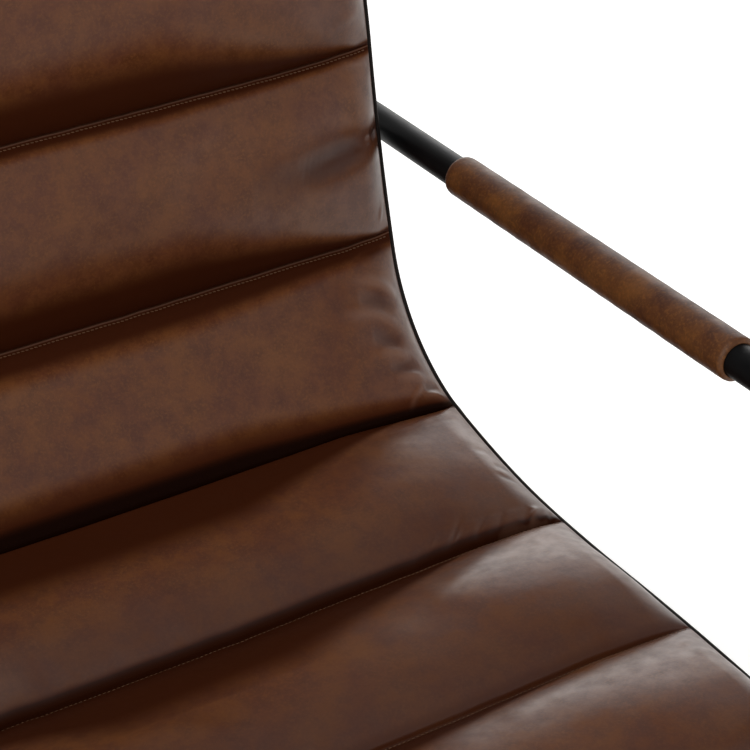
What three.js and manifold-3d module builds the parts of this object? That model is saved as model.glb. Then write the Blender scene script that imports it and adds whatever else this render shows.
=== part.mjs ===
// Swivel rocker with a channel-stitched leather sling on a black tube frame.
//
// Millimetres, +Z up, the chair faces -Y, and left (-X) and right (+X) are as seen from its front.
// The origin is on the floor, on the swivel axis. Three groups move against each other: the ring base
// stands on the floor, the swivel carriage turns on it about Z, and the seat rocks on the carriage
// about a pin that lies along X.
//
// The sling is drawn along its side edge line, a chain of arcs in the YZ plane. A place on the sling is
// (x, s, depth): s runs along that line from the crease seam, up the back when negative and forward over
// the seat when positive, and depth is measured square to it, away from the sitter.

import * as THREE from "three";
import { mergeVertices } from "three/addons/utils/BufferGeometryUtils.js";
import Module from "manifold-3d";

const wasm = await Module();
wasm.setup();

// Clearances shared by every piece.
const FIT_GAP = 0.3;
const CUT_OVERRUN = 5;

// Sling: the padded leather seat and back, and what is inside it.
const sling = {
  width: 584,
  channel: 165,
  backChannels: 3,
  seatChannels: 3,
  creaseRise: 85,
  creaseSetback: 134,
  crown: 30,
  seamRise: 5,
  crownRoundnessShare: 0.58,
  padDepth: 10,
  layerGap: 0.8,
  sideRoll: 22,
  sideRollShare: 0.8,
  drawIn: 75,
  endDrawIn: 20,
};
// The forms are cut at these places: equal steps along each channel, and shares of the half width.
const stepsPerChannel = 6;
const acrossShares = [0, 0.4, 0.72, 0.84, 0.908, 0.946, 0.97, 0.9845, 1];
// Stations of the side edge line, in channel widths from the crease seam, with the heading there in
// degrees: 0 points straight down and 90 straight forward. The line is an arc between two stations.
const profileStationShares = [-3, -2.72, -2, -0.93, 0.06, 0.37, 0.9, 1.5, 2.6, 3];
const profileHeadingDegrees = [26, 19.5, 9.5, 16, 81, 83.5, 92.5, 96.5, 92, 66];
const sheet = { depth: 2, inset: 4 };
const rail = { width: 25, depth: 8, inset: 4 };
const crossBar = { width: 25 };
const outerCover = { depth: 2.5 };
const band = { thickness: 2 };
const piping = { diameter: 4.5, cornerRadius: 14, cornerSteps: 3, sides: 6 };

// Tube frame of the seat.
const tube = { od: 25.4, wall: 2, sides: 10, bendSteps: 5 };
const lower = { height: 300, rearReach: 60, frontBend: 38, rearBend: 60 };
const arm = {
  sideGap: 8.3,
  heightAtCrease: 202,
  riseDegrees: 5.4,
  rearReach: 218,
  frontReach: 474,
  frontBend: 75,
  rearBend: 42,
};
const legJoint = { rise: 120 };
const collar = { wall: 2.6, length: 32, sides: 24 };
const upright = { od: 19, wall: 2, sideInset: 102, sides: 10 };
const frontTube = { stationShare: 2.62 };
const grip = { wall: 3.7, endRoundShare: 0.86, length: 360, rearSetback: 35, sides: 20, roundSteps: 3 };
const bearer = { size: 25, wall: 2, y: 80 };
const backBracket = { width: 36, thickness: 6, sideInset: 172 };
const riser = { width: 30, thickness: 4, flange: 34, sideInset: 30 };

// Rocker between the swivel carriage and the seat.
const rock = { backDegrees: 12, forwardDegrees: 8, gapAbove: 8, gapBelow: 12 };
const plate = { thickness: 5, edge: 6, corner: 14, cornerSteps: 2 };
const pin = { r: 8, headR: 12, headLength: 4, sides: 24 };
const pinClip = { wall: 4.7, thickness: 2.5, endLength: 3 };
const bush = { wall: 1.6, flangeWidth: 5, flangeDepth: 2.2, sides: 24 };
const ear = { thickness: 5, halfWidth: 24, rim: 7.8, x: 62, steps: 10 };
const spring = {
  outerR: 21,
  wire: 5.5,
  x: 34,
  y: 80,
  turns: 5.5,
  endTurns: 1,
  endGap: 0.8,
  stepsPerTurn: 8,
  sides: 5,
};
const peg = { height: 8, sides: 12, slack: 1.2 };
const stop = { r: 11, topR: 8, edge: 2, clearance: 0.8, sides: 16 };
const bolt = {
  r: 4,
  headR: 6.5,
  headHeight: 3.4,
  washerR: 8,
  washerDepth: 1.6,
  thread: 8,
  springGap: 5,
  sides: 12,
};

// Swivel: spindle, bushes and hub.
const spindle = { r: 15, flangeR: 42, flangeDepth: 6, endR: 10, endLength: 12, sides: 28 };
const thrustWasher = { depth: 3 };
const swivelBush = { wall: 6, flangeWidth: 6, flangeDepth: 3, length: 28 };
const hub = { wall: 11.4, height: 106, sides: 28, reliefSlack: 3, chamfer: 2.5 };
const spindleNut = { wall: 13.7, depth: 7, sides: 24 };

// Base ring, spokes and glides.
const ring = { r: 285, barD: 19, segments: 48, sides: 8 };
const spoke = {
  barD: 19,
  drop: 30,
  shoulder: 150,
  shoulderDrop: 9,
  bend: 130,
  endShare: 0.25,
  sides: 10,
  bendSteps: 6,
};
const glide = { r: 15, lift: 5, height: 10, sides: 24 };
const spokeCount = 4;

const degrees = (value) => THREE.MathUtils.degToRad(value);
const vec = (x, y, z) => new THREE.Vector3(x, y, z);

// Materials, one for each finish.
const finish = (color, roughness, metalness) =>
  new THREE.MeshStandardMaterial({ color, roughness, metalness });
const blackSteel = finish(0x161617, 0.45, 0.6);
const brownLeather = finish(0x5a3524, 0.38, 0);
const darkLeather = finish(0x2a1d18, 0.45, 0);
const zincSteel = finish(0x9b9c9e, 0.35, 0.9);
const springSteel = finish(0x2c2e30, 0.4, 0.85);
const nylon = finish(0xd9d6cc, 0.5, 0);
const blackRubber = finish(0x1b1b1b, 0.9, 0);
const webCloth = finish(0x23211f, 0.95, 0);

// Solids: a closed geometry becomes a manifold solid and comes back as a geometry.
function toSolid(geometry) {
  const bare = new THREE.BufferGeometry();
  bare.setAttribute("position", geometry.getAttribute("position"));
  if (geometry.index) bare.setIndex(geometry.index);
  const merged = mergeVertices(bare, 1e-3);
  return new wasm.Manifold(
    new wasm.Mesh({
      numProp: 3,
      vertProperties: new Float32Array(merged.attributes.position.array),
      triVerts: new Uint32Array(merged.index.array),
    }),
  );
}

function toGeometry(solid) {
  const mesh = solid.getMesh();
  const geometry = new THREE.BufferGeometry();
  geometry.setAttribute("position", new THREE.BufferAttribute(mesh.vertProperties, mesh.numProp));
  geometry.setIndex(new THREE.BufferAttribute(mesh.triVerts, 1));
  return geometry;
}

function join(...geometries) {
  return toGeometry(geometries.map(toSolid).reduce((whole, piece) => whole.add(piece)));
}

function cut(geometry, ...tools) {
  return toGeometry(tools.map(toSolid).reduce((whole, tool) => whole.subtract(tool), toSolid(geometry)));
}

// A curve with one sample for each station, so straight runs take a single step.
class StationCurve extends THREE.Curve {
  constructor(points, tangents) {
    super();
    this.points = points;
    this.tangents = tangents;
    this.steps = points.length - 1;
  }
  getPoint(t, target = vec(0, 0, 0)) {
    const at = t * this.steps;
    const i = Math.min(Math.floor(at), this.steps - 1);
    return target.lerpVectors(this.points[i], this.points[i + 1], at - i);
  }
  getPointAt(u, target) {
    return this.getPoint(u, target);
  }
  getTangentAt(u, target = vec(0, 0, 0)) {
    return target.copy(this.tangents[Math.round(u * this.steps)]);
  }
}

// Straight runs between corners, each corner rounded by an arc of its own radius.
function bentPath(corners, radii, bendSteps) {
  const points = [corners[0]];
  const tangents = [corners[1].clone().sub(corners[0]).normalize()];
  for (let i = 1; i < corners.length - 1; i++) {
    const into = corners[i].clone().sub(corners[i - 1]).normalize();
    const outOf = corners[i + 1].clone().sub(corners[i]).normalize();
    const turn = into.angleTo(outOf);
    const radius = radii[i - 1];
    const axis = into.clone().cross(outOf).normalize();
    const start = corners[i].clone().addScaledVector(into, -radius * Math.tan(turn / 2));
    const centre = start.clone().addScaledVector(axis.clone().cross(into), radius);
    for (let k = 0; k <= bendSteps; k++) {
      const angle = (turn * k) / bendSteps;
      points.push(start.clone().sub(centre).applyAxisAngle(axis, angle).add(centre));
      tangents.push(into.clone().applyAxisAngle(axis, angle));
    }
  }
  const last = corners.length - 1;
  points.push(corners[last]);
  tangents.push(corners[last].clone().sub(corners[last - 1]).normalize());
  return new StationCurve(points, tangents);
}

// The corners of a round section.
function roundSection(r, sides) {
  const corner = (_, k) => {
    const angle = (2 * Math.PI * k) / sides;
    return new THREE.Vector2(r * Math.cos(angle), r * Math.sin(angle));
  };
  return Array.from({ length: sides }, corner);
}

// A round tube along a path: a solid bar when its wall is zero.
function tubeAlong(path, od, wall, sides) {
  const section = new THREE.Shape(roundSection(od / 2, sides));
  if (wall) section.holes.push(new THREE.Path(roundSection(od / 2 - wall, sides)));
  return new THREE.ExtrudeGeometry(section, { steps: path.steps, extrudePath: path });
}

function straightTube(from, to, od, wall, sides) {
  const along = to.clone().sub(from).normalize();
  return tubeAlong(new StationCurve([from, to], [along, along]), od, wall, sides);
}

// A turned piece about Z. The outline is [radius, height] pairs that go up the outside.
function turned(outline, sides) {
  const points = outline.map(([r, z]) => new THREE.Vector2(r, z));
  return new THREE.LatheGeometry(points, sides).rotateX(Math.PI / 2);
}

// A ring about Z with a bore, from z0 to z1.
function turnedRing(boreR, outerR, z0, z1, sides) {
  return turned([[boreR, z0], [outerR, z0], [outerR, z1], [boreR, z1], [boreR, z0]], sides);
}

function boxBetween(low, high) {
  const size = high.clone().sub(low);
  return new THREE.BoxGeometry(size.x, size.y, size.z).translate(
    ...low.clone().add(high).multiplyScalar(1 / 2).toArray(),
  );
}

const creaseHeight = lower.height + sling.creaseRise;

// The side edge line: arc pieces whose headings and ends come from the station tables.
const edgeLine = (() => {
  const stations = profileStationShares.map((share) => share * sling.channel);
  const headings = profileHeadingDegrees.map(degrees);
  const travel = (from, to, length) => {
    const turn = to - from;
    if (Math.abs(turn) < 1e-9) return [-Math.sin(from) * length, -Math.cos(from) * length];
    const radius = length / turn;
    return [radius * (Math.cos(to) - Math.cos(from)), radius * (Math.sin(from) - Math.sin(to))];
  };
  const starts = [[0, 0]];
  for (let i = 0; i < stations.length - 1; i++) {
    const [dy, dz] = travel(headings[i], headings[i + 1], stations[i + 1] - stations[i]);
    starts.push([starts[i][0] + dy, starts[i][1] + dz]);
  }
  const raw = (s) => {
    const past = stations.findIndex((station) => station > s);
    const i = past < 0 ? stations.length - 2 : Math.max(past - 1, 0);
    const share = (s - stations[i]) / (stations[i + 1] - stations[i]);
    const heading = headings[i] + (headings[i + 1] - headings[i]) * share;
    const [dy, dz] = travel(headings[i], heading, s - stations[i]);
    return { y: starts[i][0] + dy, z: starts[i][1] + dz, heading };
  };
  const crease = raw(0);
  return (s) => {
    const at = raw(s);
    return {
      y: at.y - crease.y + sling.creaseSetback,
      z: at.z - crease.z + creaseHeight,
      heading: at.heading,
    };
  };
})();

// The point of the sling at x, s and depth.
function onSling(x, s, depth) {
  const { y, z, heading } = edgeLine(s);
  return vec(x, y + depth * Math.cos(heading), z - depth * Math.sin(heading));
}

// Depths of the sling's layers, from the pad's back face outwards.
const sheetDepth = sling.padDepth + sling.layerGap;
const railDepth = sheetDepth + sheet.depth + sling.layerGap;
const coverDepth = railDepth + rail.depth + sling.layerGap;
const outerDepth = coverDepth + outerCover.depth;
const backLength = sling.backChannels * sling.channel;
const seatLength = sling.seatChannels * sling.channel;
const padHalf = sling.width / 2 - band.thickness - FIT_GAP;

// The stations between two ends of a form. All forms share the ones inside, so the layers of the sling
// keep their distance wherever the edge line bends.
function stationsBetween(s0, s1) {
  const step = sling.channel / stepsPerChannel;
  const stations = [s0];
  for (let i = Math.ceil(s0 / step); i * step < s1 - FIT_GAP; i++) {
    if (i * step > s0 + FIT_GAP) stations.push(i * step);
  }
  return [...stations, s1];
}

// A box whose long axis follows the edge line. raise(x, s) moves its inner face towards the sitter.
function slingBox({ x0, x1, s0, s1, depth0, depth1, across = [x0, x1], along, raise }) {
  const stations = along || stationsBetween(s0, s1);
  const box = new THREE.BoxGeometry(1, 1, 1, across.length - 1, 1, stations.length - 1);
  const position = box.getAttribute("position");
  for (let i = 0; i < position.count; i++) {
    const x = across[Math.round((position.getX(i) + 1 / 2) * (across.length - 1))];
    const s = stations[Math.round((1 / 2 - position.getZ(i)) * (stations.length - 1))];
    const inner = position.getY(i) < 0;
    const depth = inner && raise ? depth0 - raise(x, s) : inner ? depth0 : depth1;
    position.setXYZ(i, ...onSling(x, s, depth).toArray());
  }
  return box;
}

const quarterRound = (share) => Math.sqrt(share * (2 - share));
const rolled = (share) => share * (2 - share);

// The sitter's face of the cushion: a rounded pillow between each two seams. Seams and crowns draw in
// to the edges of the sling, where the cushion lies flat under the piping.
function pillow(x, s) {
  const sideInset = Math.max(padHalf - piping.diameter - Math.abs(x), 0);
  const endInset = Math.max(Math.min(s + backLength, seatLength - s) - piping.diameter, 0);
  const sideFullness =
    sling.sideRollShare * rolled(Math.min(sideInset / sling.sideRoll, 1)) +
    (1 - sling.sideRollShare) * rolled(Math.min(sideInset / sling.drawIn, 1));
  const endFullness = quarterRound(Math.min(endInset / sling.endDrawIn, 1));
  const channelShare = s / sling.channel - Math.floor(s / sling.channel);
  const roundness = Math.sin(Math.PI * channelShare) ** sling.crownRoundnessShare;
  const rise = sling.seamRise + (sling.crown - sling.seamRise) * roundness;
  return rise * sideFullness * endFullness;
}

function cushion(s0, s1) {
  const rightSide = acrossShares.map((share) => share * padHalf);
  const leftSide = rightSide.slice(1).map((x) => -x);
  const along = stationsBetween(s0 + FIT_GAP / 2, s1 - FIT_GAP / 2);
  if (s0 < 0) along.splice(1, 0, s0 + piping.diameter);
  else along.splice(-1, 0, s1 - piping.diameter);
  return slingBox({
    depth0: 0,
    depth1: sling.padDepth,
    across: [...leftSide.reverse(), ...rightSide],
    along,
    raise: pillow,
  });
}

// Internal steel of the sling, its suspension sheet and its outer leather.
function sideRail(side) {
  const inner = padHalf - rail.inset - rail.width;
  const outer = padHalf - rail.inset;
  return slingBox({
    x0: side > 0 ? inner : -outer,
    x1: side > 0 ? outer : -inner,
    s0: -backLength + rail.inset,
    s1: seatLength - rail.inset,
    depth0: railDepth,
    depth1: railDepth + rail.depth,
  });
}

function slingCrossBar(s) {
  const half = padHalf - rail.inset - rail.width - FIT_GAP;
  return slingBox({
    x0: -half,
    x1: half,
    s0: s - crossBar.width / 2,
    s1: s + crossBar.width / 2,
    depth0: railDepth,
    depth1: railDepth + rail.depth,
  });
}

// A flat layer over the whole length of the sling, inset from its sides.
function slingLayer(depth0, depth1, inset) {
  return slingBox({
    x0: inset - padHalf,
    x1: padHalf - inset,
    s0: -backLength,
    s1: seatLength,
    depth0,
    depth1,
  });
}

// The boxing strip that closes the sling all the way round, joined into one loop at the corners.
function borderBand() {
  const outer = sling.width / 2;
  const inner = outer - band.thickness;
  const top = -backLength - FIT_GAP;
  const front = seatLength + FIT_GAP;
  const depths = { depth0: 0, depth1: outerDepth };
  const along = { s0: top - band.thickness, s1: front + band.thickness, ...depths };
  const across = { x0: -outer, x1: outer, ...depths };
  return join(
    slingBox({ x0: inner, x1: outer, ...along }),
    slingBox({ x0: -outer, x1: -inner, ...along }),
    slingBox({ s0: top - band.thickness, s1: top, ...across }),
    slingBox({ s0: front, s1: front + band.thickness, ...across }),
  );
}

// The piping cord runs round the sitter's side of the sling, over the joint of cushion and band.
function edgePiping() {
  const x = (sling.width - piping.diameter) / 2;
  const depth = -piping.diameter / 2 - FIT_GAP;
  const inX = x - piping.cornerRadius;
  const inset = piping.cornerRadius + piping.diameter / 2 - band.thickness;
  const low = inset - backLength;
  const high = seatLength - inset;
  const flat = [];
  const corner = (cx, cs, from) => {
    for (let k = 0; k <= piping.cornerSteps; k++) {
      const angle = from + (Math.PI / 2) * (k / piping.cornerSteps);
      const r = piping.cornerRadius;
      flat.push([cx + r * Math.cos(angle), cs + r * Math.sin(angle)]);
    }
  };
  const between = stationsBetween(low, high).slice(1, -1);
  corner(inX, low, -Math.PI / 2);
  between.forEach((s) => flat.push([x, s]));
  corner(inX, high, 0);
  corner(-inX, high, Math.PI / 2);
  between.reverse().forEach((s) => flat.push([-x, s]));
  corner(-inX, low, Math.PI);
  flat.push(flat[0]);
  const points = flat.map(([px, s]) => onSling(px, s, depth));
  const tangents = points.map((point, i) => {
    const before = points[i === 0 ? points.length - 2 : i - 1];
    const after = points[i === points.length - 1 ? 1 : i + 1];
    return after.clone().sub(before).normalize();
  });
  const path = new StationCurve(points, tangents);
  return new THREE.TubeGeometry(path, path.steps, piping.diameter / 2, piping.sides, true);
}

// Places of the tube frame.
const tubeR = tube.od / 2;
const legX = sling.width / 2 + arm.sideGap + tubeR;
const jointHeight = lower.height + legJoint.rise;
const armHeight = (y) =>
  creaseHeight + arm.heightAtCrease + Math.tan(degrees(arm.riseDegrees)) * (sling.creaseSetback - y);
const armRearY = sling.creaseSetback + arm.rearReach;
const armFrontY = sling.creaseSetback - arm.frontReach;
const armRear = vec(legX, armRearY, armHeight(armRearY));
const armFront = vec(legX, armFrontY, armHeight(armFrontY));
const frontTubeDepth = outerDepth + 2 * FIT_GAP + tubeR;
const frontTubeAt = onSling(0, frontTube.stationShare * sling.channel, frontTubeDepth);
const legSlope = (frontTubeAt.y - armFront.y) / (armFront.z - frontTubeAt.z);
const legAt = (z) => vec(legX, armFront.y + legSlope * (armFront.z - z), z);
const lowerRearY = sling.creaseSetback + lower.rearReach;
const mirrored = (point) => vec(-point.x, point.y, point.z);

function armHoop() {
  const foot = legAt(jointHeight + FIT_GAP / 2);
  const corners = [foot, armFront, armRear, mirrored(armRear), mirrored(armFront), mirrored(foot)];
  const radii = [arm.frontBend, arm.rearBend, arm.rearBend, arm.frontBend];
  return tubeAlong(bentPath(corners, radii, tube.bendSteps), tube.od, tube.wall, tube.sides);
}

function lowerHoop() {
  const head = legAt(jointHeight - FIT_GAP / 2);
  const front = legAt(lower.height);
  const rear = vec(legX, lowerRearY, lower.height);
  const corners = [head, front, rear, mirrored(rear), mirrored(front), mirrored(head)];
  const radii = [lower.frontBend, lower.rearBend, lower.rearBend, lower.frontBend];
  return tubeAlong(bentPath(corners, radii, tube.bendSteps), tube.od, tube.wall, tube.sides);
}

// A tube's place as a solid bar, a gap clear of it all round, for coping what is welded to it.
function grownBar(from, to, od, sides) {
  return straightTube(from, to, od / Math.cos(Math.PI / sides) + 2 * FIT_GAP, 0, sides);
}

function legBar(side) {
  const ends = [legAt(lower.height + lower.frontBend), legAt(armFront.z - arm.frontBend)];
  return grownBar(...(side > 0 ? ends : ends.map(mirrored)), tube.od, tube.sides);
}

// A collar clamps the two hoops together round each front leg.
function legCollar(side) {
  const along = legAt(0).sub(legAt(1)).normalize();
  const middle = legAt(jointHeight);
  const turn = new THREE.Quaternion().setFromUnitVectors(vec(0, 0, -1), along);
  const boreR = tubeR + FIT_GAP;
  const half = collar.length / 2;
  const ringSolid = turnedRing(boreR, boreR + collar.wall, -half, half, collar.sides);
  return ringSolid.applyQuaternion(turn).translate(side * middle.x, middle.y, middle.z);
}

function frontCrossTube() {
  const from = vec(-legX, frontTubeAt.y, frontTubeAt.z);
  const whole = straightTube(from, mirrored(from), tube.od, tube.wall, tube.sides);
  return cut(whole, legBar(1), legBar(-1));
}

function rearUpright(side) {
  const x = side * (sling.width / 2 - upright.sideInset);
  const foot = vec(x, lowerRearY, lower.height);
  const head = vec(x, armRear.y, armRear.z);
  const whole = straightTube(foot, head, upright.od, upright.wall, upright.sides);
  const bar = (y, z) => grownBar(vec(x - tube.od, y, z), vec(x + tube.od, y, z), tube.od, tube.sides);
  return cut(whole, bar(foot.y, foot.z), bar(head.y, head.z));
}

// The leather grip: a padded sleeve with rounded ends on the straight of the arm.
function armGrip(side) {
  const boreR = tubeR + FIT_GAP;
  const outerR = boreR + grip.wall;
  const round = grip.wall * grip.endRoundShare;
  const outline = [[boreR, 0]];
  const corner = (z, from) => {
    for (let k = 0; k <= grip.roundSteps; k++) {
      const angle = from + (Math.PI / 2) * (k / grip.roundSteps);
      outline.push([outerR - round + round * Math.cos(angle), z + round * Math.sin(angle)]);
    }
  };
  corner(round, -Math.PI / 2);
  corner(grip.length - round, 0);
  outline.push([boreR, grip.length], [boreR, 0]);
  const along = armFront.clone().sub(armRear).normalize();
  const turn = new THREE.Quaternion().setFromUnitVectors(vec(0, 0, 1), along);
  const startY = sling.creaseSetback + grip.rearSetback;
  return turned(outline, grip.sides)
    .applyQuaternion(turn)
    .translate(side * legX, startY, armHeight(startY));
}

// Sizes of the rocker: the bolts stand beside the springs, and the plates reach past both.
const bushBoreR = pin.r + FIT_GAP;
const bushOuterR = bushBoreR + bush.wall;
const bushFlangeR = bushOuterR + bush.flangeWidth;
const earHoleR = bushOuterR + FIT_GAP;
const earTipR = earHoleR + ear.rim;
const seatEarOuter = ear.x - bush.flangeDepth - 2 * FIT_GAP;
const boltX = spring.x + spring.outerR + bolt.springGap + bolt.washerR;
const plateHalfX = boltX + bolt.washerR + plate.edge;
const plateHalfY = spring.y + spring.outerR + plate.edge;

// Heights of the rocker and swivel, worked down from the lower hoop.
const bearerBottom = lower.height - bearer.size / 2;
const topPlateTop = bearerBottom - FIT_GAP;
const topPlateBottom = topPlateTop - plate.thickness;
const pivotZ = topPlateBottom - rock.gapAbove - earTipR;
const cradleTop = pivotZ - earTipR - rock.gapBelow;
const cradleBottom = cradleTop - plate.thickness;
const flangeTop = cradleBottom - FIT_GAP;
const flangeBottom = flangeTop - spindle.flangeDepth;
const washerTop = flangeBottom - FIT_GAP;
const washerBottom = washerTop - thrustWasher.depth;
const upperFlangeTop = washerBottom - FIT_GAP;
const upperFlangeBottom = upperFlangeTop - swivelBush.flangeDepth;
const hubTop = upperFlangeBottom - FIT_GAP;
const hubBottom = hubTop - hub.height;
const lowerFlangeTop = hubBottom - FIT_GAP;
const lowerFlangeBottom = lowerFlangeTop - swivelBush.flangeDepth;
const nutTop = lowerFlangeBottom - FIT_GAP;

// A rocker plate: flat, with rounded corners, from z0 up.
function rockerPlate(z0) {
  const outline = new THREE.Shape();
  const x = plateHalfX - plate.corner;
  const y = plateHalfY - plate.corner;
  outline.absarc(x, y, plate.corner, 0, Math.PI / 2, false);
  outline.absarc(-x, y, plate.corner, Math.PI / 2, Math.PI, false);
  outline.absarc(-x, -y, plate.corner, Math.PI, (3 * Math.PI) / 2, false);
  outline.absarc(x, -y, plate.corner, (3 * Math.PI) / 2, 2 * Math.PI, false);
  const made = new THREE.ExtrudeGeometry(outline, {
    depth: plate.thickness,
    bevelEnabled: false,
    curveSegments: plate.cornerSteps,
  });
  return made.translate(0, 0, z0);
}

// An ear beside the pin: straight from its plate to the pivot, round at the tip, with a hole.
function pivotEar(xInner, rootZ, holeR) {
  const standsUp = rootZ < pivotZ;
  const reach = Math.abs(pivotZ - rootZ);
  const outline = new THREE.Shape();
  outline.moveTo(-ear.halfWidth, 0).lineTo(ear.halfWidth, 0).lineTo(earTipR, reach);
  outline.absarc(0, reach, earTipR, 0, Math.PI, false);
  outline.closePath();
  outline.holes.push(new THREE.Path().absarc(0, reach, holeR, 0, 2 * Math.PI, true));
  const made = new THREE.ExtrudeGeometry(outline, {
    depth: ear.thickness,
    bevelEnabled: false,
    curveSegments: ear.steps,
  });
  made.rotateX(Math.PI / 2).rotateZ(Math.PI / 2);
  if (!standsUp) made.rotateX(Math.PI);
  return made.translate(xInner, 0, rootZ);
}

// The four corners of the rocker, where its springs and bolts stand.
const cornerPlaces = [
  ["front_left", -1, -1],
  ["front_right", 1, -1],
  ["rear_left", -1, 1],
  ["rear_right", 1, 1],
];

function springPegs(z0, z1) {
  const pegR = spring.outerR - spring.wire - peg.slack;
  return cornerPlaces.map(([, sx, sy]) =>
    new THREE.CylinderGeometry(pegR, pegR, z1 - z0, peg.sides)
      .rotateX(Math.PI / 2)
      .translate(sx * spring.x, sy * spring.y, (z0 + z1) / 2),
  );
}

// The lower rocker plate, with ears that hold the pivot bushes and pegs for the springs.
function rockerCradle() {
  const root = cradleTop - plate.thickness / 2;
  return join(
    rockerPlate(cradleBottom),
    pivotEar(ear.x, root, earHoleR),
    pivotEar(-ear.x - ear.thickness, root, earHoleR),
    ...springPegs(root, cradleTop + peg.height),
  );
}

// The upper rocker plate hangs its ears inside those of the cradle, and is bolted to the bearers.
function rockerTopPlate() {
  const root = topPlateTop - plate.thickness / 2;
  const whole = join(
    rockerPlate(topPlateBottom),
    pivotEar(seatEarOuter - ear.thickness, root, bushBoreR),
    pivotEar(-seatEarOuter, root, bushBoreR),
    ...springPegs(topPlateBottom - peg.height, root),
  );
  const holes = cornerPlaces.map(([, sx, sy]) => boltHole(sx, sy, topPlateBottom, topPlateTop));
  return cut(whole, ...holes);
}

function boltHole(sx, sy, z0, z1) {
  const r = bolt.r + FIT_GAP;
  return new THREE.CylinderGeometry(r, r, z1 - z0 + 2 * CUT_OVERRUN, bolt.sides)
    .rotateX(Math.PI / 2)
    .translate(sx * boltX, sy * bearer.y, (z0 + z1) / 2);
}

// A flanged screw goes up through the top plate into the bearer's lower wall.
function plateBolt(sx, sy) {
  const under = topPlateBottom - FIT_GAP;
  const washerZ = under - bolt.washerDepth;
  const head = washerZ - bolt.headHeight;
  const tip = bearerBottom + bearer.wall + bolt.thread;
  const outline = [
    [0, head],
    [bolt.headR, head],
    [bolt.headR, washerZ],
    [bolt.washerR, washerZ],
    [bolt.washerR, under],
    [bolt.r, under],
    [bolt.r, tip],
    [0, tip],
  ];
  return turned(outline, bolt.sides).translate(sx * boltX, sy * bearer.y, 0);
}

// A square tube bearer across the lower hoop, coped to its side rails and drilled for the bolts.
function seatBearer(sy) {
  const half = bearer.size / 2;
  const inner = half - bearer.wall;
  const square = (r) => [[-r, -r], [r, -r], [r, r], [-r, r]].map(([x, y]) => new THREE.Vector2(x, y));
  const section = new THREE.Shape(square(half));
  section.holes.push(new THREE.Path(square(inner)));
  const whole = new THREE.ExtrudeGeometry(section, { depth: 2 * legX, bevelEnabled: false });
  const y = sy * bearer.y;
  whole.rotateY(Math.PI / 2).translate(-legX, y, lower.height);
  const hoopRail = (sx) => {
    const from = vec(sx * legX, y - bearer.size, lower.height);
    const to = vec(sx * legX, y + bearer.size, lower.height);
    return grownBar(from, to, tube.od, tube.sides);
  };
  const lowerHole = (sx) => boltHole(sx, sy, bearerBottom - CUT_OVERRUN, bearerBottom);
  return cut(whole, hoopRail(1), hoopRail(-1), lowerHole(1), lowerHole(-1));
}

// Turned pieces on the pivot lie along X.
function alongX(geometry) {
  return geometry.rotateY(Math.PI / 2).translate(0, 0, pivotZ);
}

const pinHeadX = ear.x + ear.thickness + FIT_GAP;

function pivotPin() {
  const end = pinHeadX + pinClip.thickness + FIT_GAP + pinClip.endLength;
  const outline = [
    [0, -end],
    [pin.r, -end],
    [pin.r, pinHeadX],
    [pin.headR, pinHeadX],
    [pin.headR, pinHeadX + pin.headLength],
    [0, pinHeadX + pin.headLength],
  ];
  return alongX(turned(outline, pin.sides));
}

function pivotClip() {
  const from = -pinHeadX - pinClip.thickness;
  const boreR = pin.r + FIT_GAP;
  return alongX(turnedRing(boreR, boreR + pinClip.wall, from, -pinHeadX, pin.sides));
}

function pivotBush(side) {
  const inner = ear.x - FIT_GAP;
  const flangeX = inner - bush.flangeDepth;
  const outer = ear.x + ear.thickness;
  const outline = [
    [bushBoreR, flangeX],
    [bushFlangeR, flangeX],
    [bushFlangeR, inner],
    [bushOuterR, inner],
    [bushOuterR, outer],
    [bushBoreR, outer],
    [bushBoreR, flangeX],
  ];
  const made = turned(outline, bush.sides);
  return alongX(side > 0 ? made : made.rotateX(Math.PI));
}

// A coil spring with close end turns: its height follows the share of turns wound at each pitch.
const springBottom = cradleTop + FIT_GAP + spring.wire / 2;
const springTop = topPlateBottom - FIT_GAP - spring.wire / 2;
const springMeanR = spring.outerR - spring.wire / 2;

function springPoint(turn) {
  const endPitch = spring.wire + spring.endGap;
  const endRise = spring.endTurns * endPitch;
  const openTurns = spring.turns - 2 * spring.endTurns;
  const openPitch = (springTop - springBottom - 2 * endRise) / openTurns;
  const low = Math.min(turn, spring.endTurns);
  const open = Math.min(Math.max(turn - spring.endTurns, 0), openTurns);
  const high = Math.max(turn - spring.endTurns - openTurns, 0);
  const z = springBottom + (low + high) * endPitch + open * openPitch;
  const angle = 2 * Math.PI * turn;
  return vec(springMeanR * Math.cos(angle), springMeanR * Math.sin(angle), z);
}

function springPath() {
  const steps = Math.round(spring.turns * spring.stepsPerTurn);
  const points = [];
  const tangents = [];
  for (let i = 0; i <= steps; i++) {
    const turn = (i * spring.turns) / steps;
    const reach = 1 / spring.stepsPerTurn;
    const ahead = springPoint(Math.min(turn + reach, spring.turns));
    const behind = springPoint(Math.max(turn - reach, 0));
    points.push(springPoint(turn));
    tangents.push(ahead.sub(behind).normalize());
  }
  tangents[0] = vec(0, 1, 0);
  const endAngle = 2 * Math.PI * spring.turns;
  tangents[steps] = vec(-Math.sin(endAngle), Math.cos(endAngle), 0);
  // Each end runs on straight for one wire diameter, flat on its plate.
  points.unshift(points[0].clone().addScaledVector(tangents[0], -spring.wire));
  tangents.unshift(tangents[0].clone());
  points.push(points[steps + 1].clone().addScaledVector(tangents[steps + 1], spring.wire));
  tangents.push(tangents[steps + 1].clone());
  return new StationCurve(points, tangents);
}

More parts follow.
